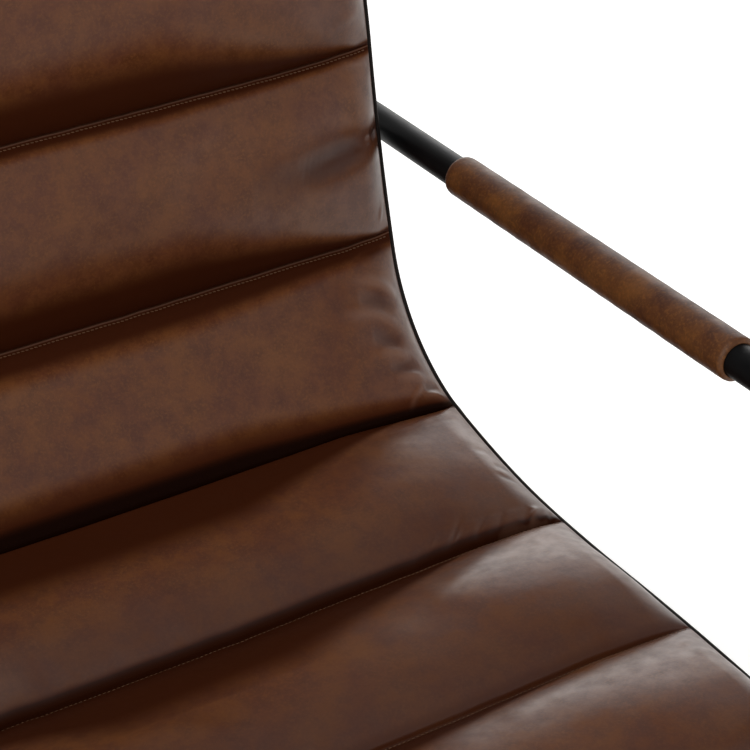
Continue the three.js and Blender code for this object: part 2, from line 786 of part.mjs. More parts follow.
function leastCoilGap(path) {
  const apart = spring.stepsPerTurn / 2;
  let least = Infinity;
  path.points.forEach((point, i) =>
    path.points.slice(i + apart + 1).forEach((other) => {
      least = Math.min(least, point.distanceTo(other) - spring.wire);
    }),
  );
  return least;
}

function rockerSpring(sx, sy) {
  const coil = tubeAlong(springPath(), spring.wire, 0, spring.sides);
  return coil.translate(sx * spring.x, sy * spring.y, 0);
}

// A rubber stop on the cradle meets the top plate as the seat reaches its rocking limit.
function bumpStop(direction, limitDegrees) {
  const angle = degrees(limitDegrees);
  const y = plateHalfY - stop.edge - stop.r;
  const reach = y + stop.topR;
  const plateZ = pivotZ - reach * Math.sin(angle) + (topPlateBottom - pivotZ) * Math.cos(angle);
  const foot = cradleTop + FIT_GAP;
  const head = plateZ - stop.clearance;
  const outline = [[0, foot], [stop.r, foot], [stop.topR, head], [0, head]];
  return turned(outline, stop.sides).translate(0, direction * y, 0);
}

// The spindle turns in the hub on two flanged bushes and a thrust washer, and a nut holds it down.
function swivelSpindle() {
  const shoulder = nutTop;
  const outline = [
    [0, shoulder - spindle.endLength],
    [spindle.endR, shoulder - spindle.endLength],
    [spindle.endR, shoulder],
    [spindle.r, shoulder],
    [spindle.r, flangeBottom],
    [spindle.flangeR, flangeBottom],
    [spindle.flangeR, flangeTop],
    [0, flangeTop],
  ];
  return turned(outline, spindle.sides);
}

const swivelBoreR = spindle.r + FIT_GAP;
const swivelBushR = swivelBoreR + swivelBush.wall;
const swivelFlangeR = swivelBushR + swivelBush.flangeWidth;
const hubBoreR = swivelBushR + FIT_GAP;
const hubR = hubBoreR + hub.wall;

// A bush fills one end of the hub's bore, with its flange outside.
function upperSwivelBush() {
  const inside = hubTop - swivelBush.length;
  const outline = [
    [swivelBoreR, inside],
    [swivelBushR, inside],
    [swivelBushR, upperFlangeBottom],
    [swivelFlangeR, upperFlangeBottom],
    [swivelFlangeR, upperFlangeTop],
    [swivelBoreR, upperFlangeTop],
    [swivelBoreR, inside],
  ];
  return turned(outline, spindle.sides);
}

function lowerSwivelBush() {
  const inside = hubBottom + swivelBush.length;
  const outline = [
    [swivelBoreR, lowerFlangeBottom],
    [swivelFlangeR, lowerFlangeBottom],
    [swivelFlangeR, lowerFlangeTop],
    [swivelBushR, lowerFlangeTop],
    [swivelBushR, inside],
    [swivelBoreR, inside],
    [swivelBoreR, lowerFlangeBottom],
  ];
  return turned(outline, spindle.sides);
}

function swivelThrustWasher() {
  return turnedRing(swivelBoreR, swivelFlangeR, washerBottom, washerTop, spindle.sides);
}

function swivelNut() {
  const boreR = spindle.endR + FIT_GAP;
  const outerR = boreR + spindleNut.wall;
  return turnedRing(boreR, outerR, nutTop - spindleNut.depth, nutTop - FIT_GAP, spindleNut.sides);
}

function swivelHub() {
  const reliefR = hubBoreR + hub.reliefSlack;
  const seat = swivelBush.length + FIT_GAP;
  const outline = [
    [hubBoreR, hubBottom],
    [hubR - hub.chamfer, hubBottom],
    [hubR, hubBottom + hub.chamfer],
    [hubR, hubTop - hub.chamfer],
    [hubR - hub.chamfer, hubTop],
    [hubBoreR, hubTop],
    [hubBoreR, hubTop - seat],
    [reliefR, hubTop - seat],
    [reliefR, hubBottom + seat],
    [hubBoreR, hubBottom + seat],
    [hubBoreR, hubBottom],
  ];
  return turned(outline, hub.sides);
}

// Base ring of round bar, on glides, with spokes that rise to the hub.
const ringZ = glide.lift + ring.barD / 2;

function ringBar(grow) {
  const r = ring.barD / 2 + grow;
  return new THREE.TorusGeometry(ring.r, r, ring.sides, ring.segments).translate(0, 0, ringZ);
}

function baseSpoke(angle) {
  const inner = vec(hubR / 2, 0, hubTop - spoke.drop);
  const shoulder = vec(spoke.shoulder, 0, inner.z - spoke.shoulderDrop);
  // The bar stops short of the ring's middle, so that its cope leaves no slivers.
  const outer = vec(ring.r, 0, ringZ);
  outer.addScaledVector(outer.clone().sub(shoulder).normalize(), -spoke.barD * spoke.endShare);
  const path = bentPath([inner, shoulder, outer], [spoke.bend], spoke.bendSteps);
  const whole = tubeAlong(path, spoke.barD, 0, spoke.sides);
  const clearR = hubR + FIT_GAP;
  const hubTool = new THREE.CylinderGeometry(clearR, clearR, hub.height, hub.sides);
  hubTool.rotateX(Math.PI / 2).translate(0, 0, (hubTop + hubBottom) / 2);
  return cut(whole, hubTool, ringBar(FIT_GAP)).rotateZ(angle);
}

function floorGlide(angle) {
  const pad = new THREE.CylinderGeometry(glide.r, glide.r, glide.height, glide.sides);
  pad.rotateX(Math.PI / 2).rotateZ(angle);
  pad.translate(ring.r * Math.cos(angle), ring.r * Math.sin(angle), glide.height / 2);
  return cut(pad, ringBar(FIT_GAP));
}

// Brackets from the sling to the tube frame: a foot against the sling's back and a tab to the rear bar.
function backSupport(side) {
  const x = side * (sling.width / 2 - backBracket.sideInset);
  const half = backBracket.width / 2;
  const footDepth = outerDepth + FIT_GAP;
  const foot = slingBox({
    x0: x - half,
    x1: x + half,
    s0: backBarS - crossBar.width / 2,
    s1: backBarS + crossBar.width / 2,
    depth0: footDepth,
    depth1: footDepth + backBracket.thickness,
  });
  const footMiddle = onSling(x, backBarS, footDepth + backBracket.thickness / 2);
  const low = vec(x - half, footMiddle.y, armRear.z - backBracket.thickness / 2);
  const high = vec(x + half, armRear.y, armRear.z + backBracket.thickness / 2);
  const rearBar = grownBar(
    vec(x - tube.od - half, armRear.y, armRear.z),
    vec(x + tube.od + half, armRear.y, armRear.z),
    tube.od,
    tube.sides,
  );
  return cut(join(boxBetween(low, high), foot), rearBar);
}

// The station of the edge line that lies as high as the rear bar, found by halving.
const backBarS = (() => {
  let low = -backLength;
  let high = 0;
  for (let i = 0; i < 40; i++) {
    const middle = (low + high) / 2;
    if (onSling(0, middle, outerDepth).z > armRear.z) low = middle;
    else high = middle;
  }
  return low;
})();

// A channel-shaped riser stands on the rear bearer and carries the sling's side rail.
function seatRiser(side) {
  const x0 = side * (sling.width / 2 - riser.sideInset) - riser.width / 2;
  const floor = lower.height + bearer.size / 2 + FIT_GAP;
  const ceiling = creaseHeight;
  const y0 = bearer.y - riser.flange / 2;
  const y1 = bearer.y + riser.flange / 2;
  const web = boxBetween(
    vec(x0, bearer.y - riser.thickness / 2, floor),
    vec(x0 + riser.width, bearer.y + riser.thickness / 2, ceiling),
  );
  const foot = boxBetween(vec(x0, y0, floor), vec(x0 + riser.width, y1, floor + riser.thickness));
  const tool = (depth1) =>
    slingBox({
      x0: x0 - CUT_OVERRUN,
      x1: x0 + riser.width + CUT_OVERRUN,
      s0: 0,
      s1: sling.channel,
      depth0: -sling.padDepth,
      depth1,
    });
  const head = boxBetween(vec(x0, y0, floor), vec(x0 + riser.width, y1, ceiling));
  const outside = outerDepth + FIT_GAP;
  const cap = toGeometry(
    toSolid(cut(head, tool(outside))).intersect(toSolid(tool(outside + riser.thickness))),
  );
  return join(cut(web, tool(outside)), foot, cap);
}

// The model: one group for each moving body, one mesh for each piece.
const chair = new THREE.Group();
const base = new THREE.Group();
const carriage = new THREE.Group();
const seat = new THREE.Group();
chair.add(base, carriage, seat);

function add(group, name, geometry, material) {
  const mesh = new THREE.Mesh(geometry, material);
  mesh.name = name;
  group.add(mesh);
}

const sides = [
  ["left", -1],
  ["right", 1],
];

add(base, "base_ring", ringBar(0), blackSteel);
for (let k = 0; k < spokeCount; k++) {
  const angle = (2 * Math.PI * k) / spokeCount;
  add(base, `base_spoke_${k + 1}`, baseSpoke(angle), blackSteel);
  add(base, `floor_glide_${k + 1}`, floorGlide(angle + Math.PI / spokeCount), blackRubber);
}
add(base, "swivel_hub", swivelHub(), blackSteel);
add(base, "upper_swivel_bush", upperSwivelBush(), nylon);
add(base, "lower_swivel_bush", lowerSwivelBush(), nylon);
add(base, "thrust_washer", swivelThrustWasher(), zincSteel);

add(carriage, "swivel_spindle", swivelSpindle(), zincSteel);
add(carriage, "spindle_nut", swivelNut(), zincSteel);
add(carriage, "rocker_cradle", rockerCradle(), blackSteel);
for (const [place, sx, sy] of cornerPlaces) {
  add(carriage, `rocker_spring_${place}`, rockerSpring(sx, sy), springSteel);
}
add(carriage, "rear_bump_stop", bumpStop(1, rock.backDegrees), blackRubber);
add(carriage, "front_bump_stop", bumpStop(-1, rock.forwardDegrees), blackRubber);
for (const [name, side] of sides) add(carriage, `pivot_bush_${name}`, pivotBush(side), nylon);

add(seat, "rocker_top_plate", rockerTopPlate(), blackSteel);
add(seat, "pivot_pin", pivotPin(), zincSteel);
add(seat, "pivot_pin_clip", pivotClip(), zincSteel);
for (const [place, sx, sy] of cornerPlaces) {
  add(seat, `plate_bolt_${place}`, plateBolt(sx, sy), zincSteel);
}
add(seat, "front_bearer", seatBearer(-1), blackSteel);
add(seat, "rear_bearer", seatBearer(1), blackSteel);
add(seat, "lower_hoop", lowerHoop(), blackSteel);
add(seat, "arm_hoop", armHoop(), blackSteel);
add(seat, "front_cross_tube", frontCrossTube(), blackSteel);
for (const [name, side] of sides) {
  add(seat, `leg_collar_${name}`, legCollar(side), blackSteel);
  add(seat, `rear_upright_${name}`, rearUpright(side), blackSteel);
  add(seat, `arm_grip_${name}`, armGrip(side), brownLeather);
  add(seat, `back_bracket_${name}`, backSupport(side), blackSteel);
  add(seat, `seat_riser_${name}`, seatRiser(side), blackSteel);
  add(seat, `sling_rail_${name}`, sideRail(side), blackSteel);
}
add(seat, "sling_top_bar", slingCrossBar(-backLength + rail.inset + crossBar.width / 2), blackSteel);
add(seat, "sling_back_bar", slingCrossBar(backBarS), blackSteel);
add(seat, "sling_front_bar", slingCrossBar(seatLength - rail.inset - crossBar.width / 2), blackSteel);
const suspension = slingLayer(sheetDepth, sheetDepth + sheet.depth, sheet.inset);
add(seat, "suspension_sheet", suspension, webCloth);
add(seat, "back_cushion", cushion(-backLength, 0), brownLeather);
add(seat, "seat_cushion", cushion(0, seatLength), brownLeather);
add(seat, "outer_cover", slingLayer(coverDepth, outerDepth, 0), brownLeather);
add(seat, "border_band", borderBand(), darkLeather);
add(seat, "edge_piping", edgePiping(), darkLeather);

const coilGap = leastCoilGap(springPath());
console.log(`least gap between the turns of a rocker spring: ${coilGap.toFixed(2)} mm`);

export default chair;
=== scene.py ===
"""Swivel rocker: a channel-stitched leather sling in a black tube frame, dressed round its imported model.

Metres, +Z up, the chair faces -Y, and left (-X) and right (+X) are as seen from its front. A place on
the sling is (x, s, depth): s runs along the side edge line from the crease seam, up the back when
negative and forward over the seat when positive, and depth is square to it, away from the sitter.
"""

import math

import bpy
import numpy as np
from bpy.props import FloatProperty, FloatVectorProperty, IntProperty, PointerProperty
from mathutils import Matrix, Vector


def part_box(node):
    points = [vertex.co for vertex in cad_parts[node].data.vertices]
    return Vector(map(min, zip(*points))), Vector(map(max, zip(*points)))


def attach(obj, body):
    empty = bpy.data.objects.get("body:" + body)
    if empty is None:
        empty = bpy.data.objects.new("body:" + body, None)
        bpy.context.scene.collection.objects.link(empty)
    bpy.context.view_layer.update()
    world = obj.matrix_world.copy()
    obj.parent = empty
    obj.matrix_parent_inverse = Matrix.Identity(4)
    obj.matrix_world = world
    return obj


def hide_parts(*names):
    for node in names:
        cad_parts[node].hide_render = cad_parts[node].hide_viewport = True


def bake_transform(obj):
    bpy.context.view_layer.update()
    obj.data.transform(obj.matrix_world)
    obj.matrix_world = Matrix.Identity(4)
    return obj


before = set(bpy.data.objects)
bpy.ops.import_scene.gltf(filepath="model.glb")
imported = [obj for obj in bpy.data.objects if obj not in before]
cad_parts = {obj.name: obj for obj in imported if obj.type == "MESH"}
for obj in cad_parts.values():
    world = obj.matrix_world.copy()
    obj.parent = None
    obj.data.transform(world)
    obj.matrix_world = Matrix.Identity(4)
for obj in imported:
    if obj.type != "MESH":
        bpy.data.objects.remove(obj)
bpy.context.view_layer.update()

bl_info = {
    "name": "Channel-stitched swivel rocker",
    "version": (1, 0, 0),
    "blender": (4, 5, 0),
    "location": "View3D > Sidebar > Rocker",
    "description": "Builds the leather, thread, steel and studio of a swivel rocking chair",
    "category": "Object",
}

# Sling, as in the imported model.
CHANNEL = 0.165
BACK_LENGTH = 3 * CHANNEL
SEAT_LENGTH = 3 * CHANNEL
HALF_WIDTH = 0.292
PAD_HALF = 0.2873
COVER_HALF = 0.2897
PAD_DEPTH = 0.010
CREASE_Y, CREASE_Z = 0.134, 0.385
SEAM_RISE = 0.004
PIPING_R = 0.00225
EDGE_INSET = 0.0024
EDGE_RISE = 0.0050
SIDE_ROLL, DRAW_IN, END_DRAW_IN = 0.026, 0.100, 0.020
CORNER = 0.014
SHEET_DEPTHS = (0.0108, 0.0128)
COVER_DEPTHS = (0.0224, 0.0249)
STATIONS = CHANNEL * np.array([-3, -2.72, -2, -0.93, 0.06, 0.37, 0.9, 1.5, 2.6, 3])
HEADINGS = np.radians([26, 19.5, 9.5, 16, 81, 83.5, 92.5, 96.5, 92, 66])
SEAMS = CHANNEL * np.array([-2, -1, 1, 2])
THREAD_AHEAD = 0.0027
CLOTH_HALF = 0.284
BAND_DEPTHS = (0.0004, 0.0245)

# Tube frame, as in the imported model.
TUBE_R = 0.0127
LEG_X = 0.313
LOWER_Z = 0.300
LOWER_REAR_Y = 0.194
ARM_RISE = math.tan(math.radians(5.4))
ARM_REAR_Y, ARM_FRONT_Y = 0.352, -0.340
CROSS_TUBE_S = 2.62 * CHANNEL
UPRIGHT_X, UPRIGHT_R = 0.190, 0.0095
JOINT_Z = 0.420
GRIP_REAR_Y, GRIP_LENGTH, GRIP_WALL = 0.169, 0.360, 0.0037
FIT_GAP = 0.0003
SIDES = ((-1, "left"), (1, "right"))
X_AXIS = np.array([1.0, 0, 0])

# Rocker and base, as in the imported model.
SPRING_X, SPRING_Y = 0.034, 0.080
SPRING_R, WIRE_R, SPRING_TURNS = 0.01825, 0.00275, 5.5
RING_R, RING_BAR_R, RING_Z = 0.285, 0.0095, 0.0145


def linear(hex_colour):
    """The linear colour of an sRGB hex colour, with full opacity."""
    parts = np.array([int(hex_colour[i : i + 2], 16) / 255 for i in (1, 3, 5)])
    low = parts / 12.92
    high = ((parts + 0.055) / 1.055) ** 2.4
    return (*np.where(parts <= 0.04045, low, high), 1.0)


# ---- the sling's edge line ----

ARC_RADII = np.diff(STATIONS) / np.diff(HEADINGS)
_arc_y = ARC_RADII * np.diff(np.cos(HEADINGS))
_arc_z = -ARC_RADII * np.diff(np.sin(HEADINGS))
ARC_STARTS = np.stack([np.append(0, np.cumsum(_arc_y)), np.append(0, np.cumsum(_arc_z))], 1)


def raw_edge_line(s):
    """Arc pieces: y = y0 + R (cos heading - cos heading0), z = z0 + R (sin heading0 - sin heading)."""
    s = np.asarray(s, float)
    i = np.clip(np.searchsorted(STATIONS, s, side="right") - 1, 0, len(ARC_RADII) - 1)
    heading = HEADINGS[i] + (s - STATIONS[i]) / ARC_RADII[i]
    y = ARC_STARTS[i, 0] + ARC_RADII[i] * (np.cos(heading) - np.cos(HEADINGS[i]))
    z = ARC_STARTS[i, 1] + ARC_RADII[i] * (np.sin(HEADINGS[i]) - np.sin(heading))
    return y, z, heading


_crease_y, _crease_z = raw_edge_line(0.0)[:2]


def on_sling(x, s, depth):
    """Points at x, s and depth: the edge line's point plus depth times its normal, which is
    (cos heading, -sin heading) in (y, z)."""
    y, z, heading = raw_edge_line(s)
    y = y - _crease_y + CREASE_Y + depth * np.cos(heading)
    z = z - _crease_z + CREASE_Z - depth * np.sin(heading)
    return np.stack(np.broadcast_arrays(x, y, z), -1)


# ---- meshes ----


def grid_quads(rows, columns, wrap_rows=False, wrap_columns=False):
    """Quads of a grid of points numbered row by row. A wrapped side joins its last line to its first."""
    r = np.arange(rows if wrap_rows else rows - 1)
    c = np.arange(columns if wrap_columns else columns - 1)
    r, c = (a.ravel() for a in np.meshgrid(r, c, indexing="ij"))
    r1, c1 = (r + 1) % rows, (c + 1) % columns
    return np.stack([r * columns + c, r * columns + c1, r1 * columns + c1, r1 * columns + c], 1)


def fan(loop, centre):
    """Triangles from each edge of a loop of point numbers to one point."""
    return np.stack([loop, np.roll(loop, -1), np.full(len(loop), centre)], 1)


def end_fans(sides, count):
    """Fans that close the first and last rings of count points to the two points after them."""
    loop = np.arange(sides)
    return np.concatenate([fan(loop[::-1], count), fan(loop + count - sides, count + 1)])


def round_angles(count):
    """Even angles once round, the last one left out."""
    return np.linspace(0, 2 * np.pi, count, endpoint=False)


def outwards(points, faces):
    """The faces turned round if the volume inside them, a sum of a . (b x c) / 6, is negative."""
    volume = 0.0
    for group in faces:
        for k in range(1, group.shape[1] - 1):
            a, b, c = points[group[:, 0]], points[group[:, k]], points[group[:, k + 1]]
            volume += np.einsum("ij,ij->", a, np.cross(b, c))
    return faces if volume > 0 else [group[:, ::-1] for group in faces]


def new_piece(name, points, faces, finish, sharp=None, attributes=None):
    """A mesh object with its place in its mesh. faces is a list of arrays of quads or triangles, and
    edges sharper than an angle in degrees may be marked sharp."""
    mesh = bpy.data.meshes.new(name)
    loops = np.concatenate([group.ravel() for group in faces]).astype(np.int32)
    sizes = np.concatenate([np.full(len(group), group.shape[1]) for group in faces]).astype(np.int32)
    mesh.vertices.add(len(points))
    mesh.vertices.foreach_set("co", points.astype(np.float32).ravel())
    mesh.loops.add(len(loops))
    mesh.loops.foreach_set("vertex_index", loops)
    mesh.polygons.add(len(sizes))
    mesh.polygons.foreach_set("loop_start", (np.cumsum(sizes) - sizes).astype(np.int32))
    mesh.update(calc_edges=True)
    mesh.polygons.foreach_set("use_smooth", np.ones(len(sizes), bool))
    if sharp:
        mesh.set_sharp_from_angle(angle=math.radians(sharp))
    for key, values in (attributes or {}).items():
        mesh.attributes.new(key, "FLOAT", "POINT").data.foreach_set("value", values.astype(np.float32))
    mesh.validate()
    mesh.materials.append(finish)
    made = bpy.data.objects.new(name, mesh)
    bpy.context.scene.collection.objects.link(made)
    return made


def fitted(name, shape, body, slot, *nodes, finish=None, **options):
    """A new piece, in the finish of its slot or another, that rides on its body and stands for its nodes."""
    made = new_piece(name, *shape, finish_of(finish or slot), **options)
    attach(made, body)
    if nodes:
        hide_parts(*nodes)
    return made


def closed_sheet(front, back):
    """Points and faces of a slab between two grids of one shape, with its rim closed."""
    rows, columns = front.shape[:2]
    numbers = np.arange(rows * columns).reshape(rows, columns)
    rim = rim_of(numbers)
    quads = grid_quads(rows, columns)
    wall = np.stack([rim, np.roll(rim, -1), np.roll(rim, -1) + rows * columns, rim + rows * columns], 1)
    points = np.concatenate([front.reshape(-1, 3), back.reshape(-1, 3)])
    return points, outwards(points, [quads, quads[:, ::-1] + rows * columns, wall[:, ::-1]])


def rim_of(numbers):
    """The outer loop of a grid of point numbers, once round."""
    return np.concatenate([numbers[0], numbers[1:, -1], numbers[-1, -2::-1], numbers[-2:0:-1, 0]])


def carried_normals(tangents):
    """Normals carried along a path without twist: each is the last one less its part along the tangent."""
    normal = np.eye(3)[np.argmin(np.abs(tangents[0]))]
    found = []
    for tangent in tangents:
        normal = normal - tangent * (normal @ tangent)
        normal = normal / np.linalg.norm(normal)
        found.append(normal)
    return np.array(found)


def unit(vectors):
    """Vectors over their lengths."""
    return vectors / np.linalg.norm(vectors, axis=-1, keepdims=True)


def swept(path, radius, sides, tangents=None, normals=None):
    """A round bar along a path, with capped ends: p + r (cos a n + sin a b), n and b square to the path."""
    tangents = unit(np.gradient(path, axis=0)) if tangents is None else tangents
    normals = carried_normals(tangents) if normals is None else normals
    binormals = np.cross(tangents, normals)
    angle = round_angles(sides)[:, None]
    ring = np.cos(angle) * normals[:, None] + np.sin(angle) * binormals[:, None]
    points = np.concatenate([(path[:, None] + radius * ring).reshape(-1, 3), path[[0, -1]]])
    faces = [grid_quads(len(path), sides, wrap_columns=True), end_fans(sides, len(path) * sides)]
    return points, outwards(points, faces)


def bent_path(corners, radii, arc_steps=14):
    """Straight runs with each corner rounded by a true arc: p + R (sin a u + (1 - cos a) v) from its start p,
    u along the run and v square to it. A run has a point every 48 mm."""
    corners = np.array(corners, float)
    path = corners[:1]
    for before, corner, after, radius in zip(corners[:-2], corners[1:-1], corners[2:], radii):
        into, out = unit(corner - before), unit(after - corner)
        turn = math.acos(float(np.clip(into @ out, -1, 1)))
        start = corner - into * radius * math.tan(turn / 2)
        side = unit(out - into * (into @ out))
        angle = np.linspace(0, turn, arc_steps + 1)[:, None]
        run = start - path[-1]
        share = np.linspace(0, 1, max(2, int(np.linalg.norm(run) / 0.048)))[1:-1, None]
        arc = start + radius * (np.sin(angle) * into + (1 - np.cos(angle)) * side)
        path = np.concatenate([path, path[-1] + run * share, arc])
    return np.concatenate([path, corners[-1:]])


def softened(outline, radius):
    """An outline with each corner c turned into the curve (1-t)^2 p + 2 t (1-t) c + t^2 q, in three steps."""
    corners = np.array(outline, float)
    closed = np.allclose(corners[0], corners[-1])
    if closed:
        corners = corners[:-1]
    before, after = np.roll(corners, 1, 0), np.roll(corners, -1, 0)
    reach_in = np.minimum(radius, 0.45 * np.linalg.norm(before - corners, axis=1))[:, None]
    reach_out = np.minimum(radius, 0.45 * np.linalg.norm(after - corners, axis=1))[:, None]
    p = corners + unit(before - corners) * reach_in
    q = corners + unit(after - corners) * reach_out
    t = np.linspace(0, 1, 4)[:, None, None]
    curve = ((1 - t) ** 2 * p + 2 * t * (1 - t) * corners + t**2 * q).transpose(1, 0, 2)
    if closed:
        return np.concatenate([curve.reshape(-1, 2), curve[0, :1]])
    return np.concatenate([corners[:1], curve[1:-1].reshape(-1, 2), corners[-1:]])


def turned(outline, axis="z", centre=(0, 0, 0), sides=56):
    """A lathe form: (r cos a, r sin a, z) for each outline point (r, z), laid along its axis."""
    outline = np.array(outline, float)
    closed = np.allclose(outline[0], outline[-1])
    ring = outline[:-1] if closed else outline[1:-1]
    angle = round_angles(sides)
    r, z = ring[:, :1], ring[:, 1:]
    points = np.stack(np.broadcast_arrays(r * np.cos(angle), r * np.sin(angle), z), -1).reshape(-1, 3)
    faces = [grid_quads(len(ring), sides, wrap_rows=closed, wrap_columns=True)]
    if not closed:
        faces.append(end_fans(sides, len(points)))
        points = np.concatenate([points, [[0, 0, outline[0, 1]], [0, 0, outline[-1, 1]]]])
    if axis == "x":
        points = points[:, [2, 0, 1]]
    points = points + np.array(centre)
    return points, outwards(points, faces)


# ---- leather surfaces ----


def quarter_round(share):
    """A quarter circle that rises from 0 to 1: sqrt(u (2 - u)), u held between 0 and 1."""
    return np.sqrt(np.clip(share, 0, 1) * (2 - np.clip(share, 0, 1)))


def rolled(share):
    """A parabola that rises from 0 to 1: u (2 - u), u held between 0 and 1."""
    share = np.clip(share, 0, 1)
    return share * (2 - share)


def ripple(x, s, seed, wavelength):
    """A soft uneven field, the mean of seven sines of about one wavelength in seeded directions."""
    drawn = np.random.default_rng(seed)
    heading, phase = drawn.uniform(0, np.pi, 7), drawn.uniform(0, 2 * np.pi, 7)
    scale = wavelength * drawn.uniform(0.75, 1.35, 7)
    travel = x[..., None] * np.cos(heading) + s[..., None] * np.sin(heading)
    return np.sin(2 * np.pi * travel / scale + phase).mean(-1)


def seam_drift(x, s):
    """How far a place drifts along s, because the seams were sewn a little off their lines: the drifts of
    the seams on either side, in proportion to how near each is."""
    drift = np.zeros((7, *x.shape))
    for line, places in SEAM_DRIFT.items():
        drift[line + 3] = np.interp(x, *(np.array(places).T / 1000))
        drift[line + 3] += 0.0005 * ripple(x, np.full_like(x, line), 40 + line, 0.028)
    at = np.clip(s / CHANNEL + 3, 0, 5.999999)
    low = at.astype(int)
    behind, ahead = (np.take_along_axis(drift, i[None], 0)[0] for i in (low, low + 1))
    return behind * (1 - at + low) + ahead * (at - low)


def seam_distance(s):
    """Signed distance from the nearest channel seam, positive on its forward side."""
    return s - SEAMS[np.abs(s[..., None] - SEAMS).argmin(-1)]


def pillow(x, s, crown):
    """Height of the sitter's face above the edge line's plane.

    Across a channel it is sin(pi u^a)^b, fuller towards the lower seam. It rolls down to the piping at its
    sides as t (2 - t), partly in the last 26 mm and partly over 100 mm, and to its ends as a quarter round.
    The seat's first channel rolls down more broadly, and it swells a little against the crease, which is a
    quarter round 4.5 mm wide on both sides.
    """
    share = s / CHANNEL - np.floor(s / CHANNEL)
    roundness = np.clip(np.sin(np.pi * share**1.06), 0, 1) ** (0.66 - 0.16 * share)
    rise = SEAM_RISE + (crown - SEAM_RISE) * roundness
    inset = PAD_HALF - np.abs(x)
    first = np.clip(np.minimum(s, CHANNEL - s) / 0.02, 0, 1)
    broad = 0.38 + 0.20 * first
    side = (1 - broad) * rolled(inset / SIDE_ROLL) + broad * rolled(inset / (DRAW_IN + 0.04 * first))
    end = quarter_round((np.minimum(s + BACK_LENGTH, SEAT_LENGTH - s) - EDGE_INSET) / END_DRAW_IN)
    swell = 0.010 * np.exp(-np.clip(s, 0, None) / 0.018) * np.clip((0.27 - np.abs(x)) / 0.09, 0, 1) * (s >= 0)
    crevice = quarter_round(np.abs(s) / 0.0045)
    start = EDGE_RISE * (1 - side) * quarter_round(end)
    return (rise + swell) * side * end + start - (SEAM_RISE + swell) * (1 - crevice) * side


def seam_form(x, s):
    """The sewn lip at each seam: a fold 1.1 mm proud on the forward side that falls off as exp(-t), and two
    bell curves exp(-t^2) down, a groove 0.7 mm deep under the thread and a crevice 2.2 mm deep behind it."""
    t = seam_distance(s)
    side = quarter_round((PAD_HALF - EDGE_INSET - np.abs(x)) / 0.02)
    lip = 0.0011 / (1 + np.exp(np.minimum((0.0001 - t) / 0.00012, 60)))
    lip = lip * np.exp(-np.clip(t, 0, None) / 0.0042)
    groove = -0.0007 * np.exp(-(((t - THREAD_AHEAD) / 0.0007) ** 2))
    crevice = -0.0022 * np.exp(-(((t + 0.0007) / 0.0006) ** 2))
    return (lip + groove + crevice) * side


def faded(distance, reach, full):
    """One up to a share of a reach, then down to nothing at its end as 1 - 3u^2 + 2u^3."""
    u = np.clip((distance / reach - full) / (1 - full), 0, 1)
    return 1 - u * u * (3 - 2 * u)


def painted_seam_shade_and_dulling(x, s, on_back):
    """How far shade is painted into the dye beside each seam, and how far the wax is dull there, as two
    shares.

    Both fade with the distance from the seam. The painted shade stands for the shade where a channel rolls
    down into a seam: on the back it lies mostly above a seam and on the seat in front of one. It narrows
    towards the sides, and the painted shadow in the crease is darkest.
    """
    line = np.round(s / CHANNEL)
    t = np.abs(s - line * CHANNEL)
    ahead = s > line * CHANNEL
    middle = np.clip((0.275 - np.abs(x)) / 0.175, 0, 1)
    if on_back:
        above = 0.005 + 0.046 * middle
        crease = 0.011 + 0.022 * middle
        below = np.where(line == -2, 0.007, 0.012) + np.where(line == -2, 0.004, 0.013) * middle
        beside = np.where(ahead, below, above)
        dark = np.where(line == 0, faded(t, 1.45 * crease, 0.2), 0.88 * faded(t, beside, 0.5))
        return dark, faded(t, 1.4 * np.where(line == 0, crease, beside), 0.62)
    out = np.maximum(x, -x - 0.1)
    first, later = np.clip((0.235 - out) / 0.17, 0, 1), np.clip((0.2 - out) / 0.18, 0, 1)
    reach = 0.004 + np.where(line == 0, 0.076 * first, np.where(line == 1, 0.090, 0.035) * later)
    below = 0.88 * faded(t, reach, 0.55)
    lip = np.where(line == 1, 0.9, 0.2) * faded(t, 0.011, 0.2)
    above = np.minimum(lip + 0.55 * faded(t, 0.095, 0.0), 0.95)
    return np.where(ahead, below, above), np.where(ahead, below, 1.1 * lip)


def fold_field(x, s, folds):
    """Sum of soft ridges: h sin(pi t)^0.7 exp(-(d / w)^2), d from the curve (1-t)^2 a + 2t(1-t) b + t^2 c."""
    total = np.zeros_like(x)
    t = np.linspace(0, 1, 33)
    for ax, as_, bx, bs, cx, cs, width, height in folds:
        curve_x = (1 - t) ** 2 * ax + 2 * t * (1 - t) * bx + t**2 * cx
        curve_s = (1 - t) ** 2 * as_ + 2 * t * (1 - t) * bs + t**2 * cs
        reach = 3 * width
        near = (x > curve_x.min() - reach) & (x < curve_x.max() + reach)
        near &= (s > curve_s.min() - reach) & (s < curve_s.max() + reach)
        gap = np.hypot(x[near][:, None] - curve_x, s[near][:, None] - curve_s)
        nearest = gap.argmin(1)
        fade = np.sin(np.pi * np.clip(t[nearest], 0.02, 0.98)) ** 0.7
        total[near] += height * fade * np.exp(-((gap.min(1) / width) ** 2))
    return total


# How far each seam lies forward of its line: x and drift, in mm. The crease is line 0.
SEAM_DRIFT = {
    -2: [(-290, 2), (73, 3), (200, 3.2), (250, 1.8), (286, -0.6)],
    -1: [(-290, 0), (47, -0.5), (140, -1.7), (200, -2.2), (250, -1.9), (287, -4)],
    1: [(-290, 1), (-60, 1.5), (20, 0.1), (80, -1.8), (140, -3.7), (200, -5), (250, -3.4), (289, 0)],
    2: [(-290, 0), (80, 0.3), (140, -0.7), (200, -2), (250, 0), (289, 1)],
}

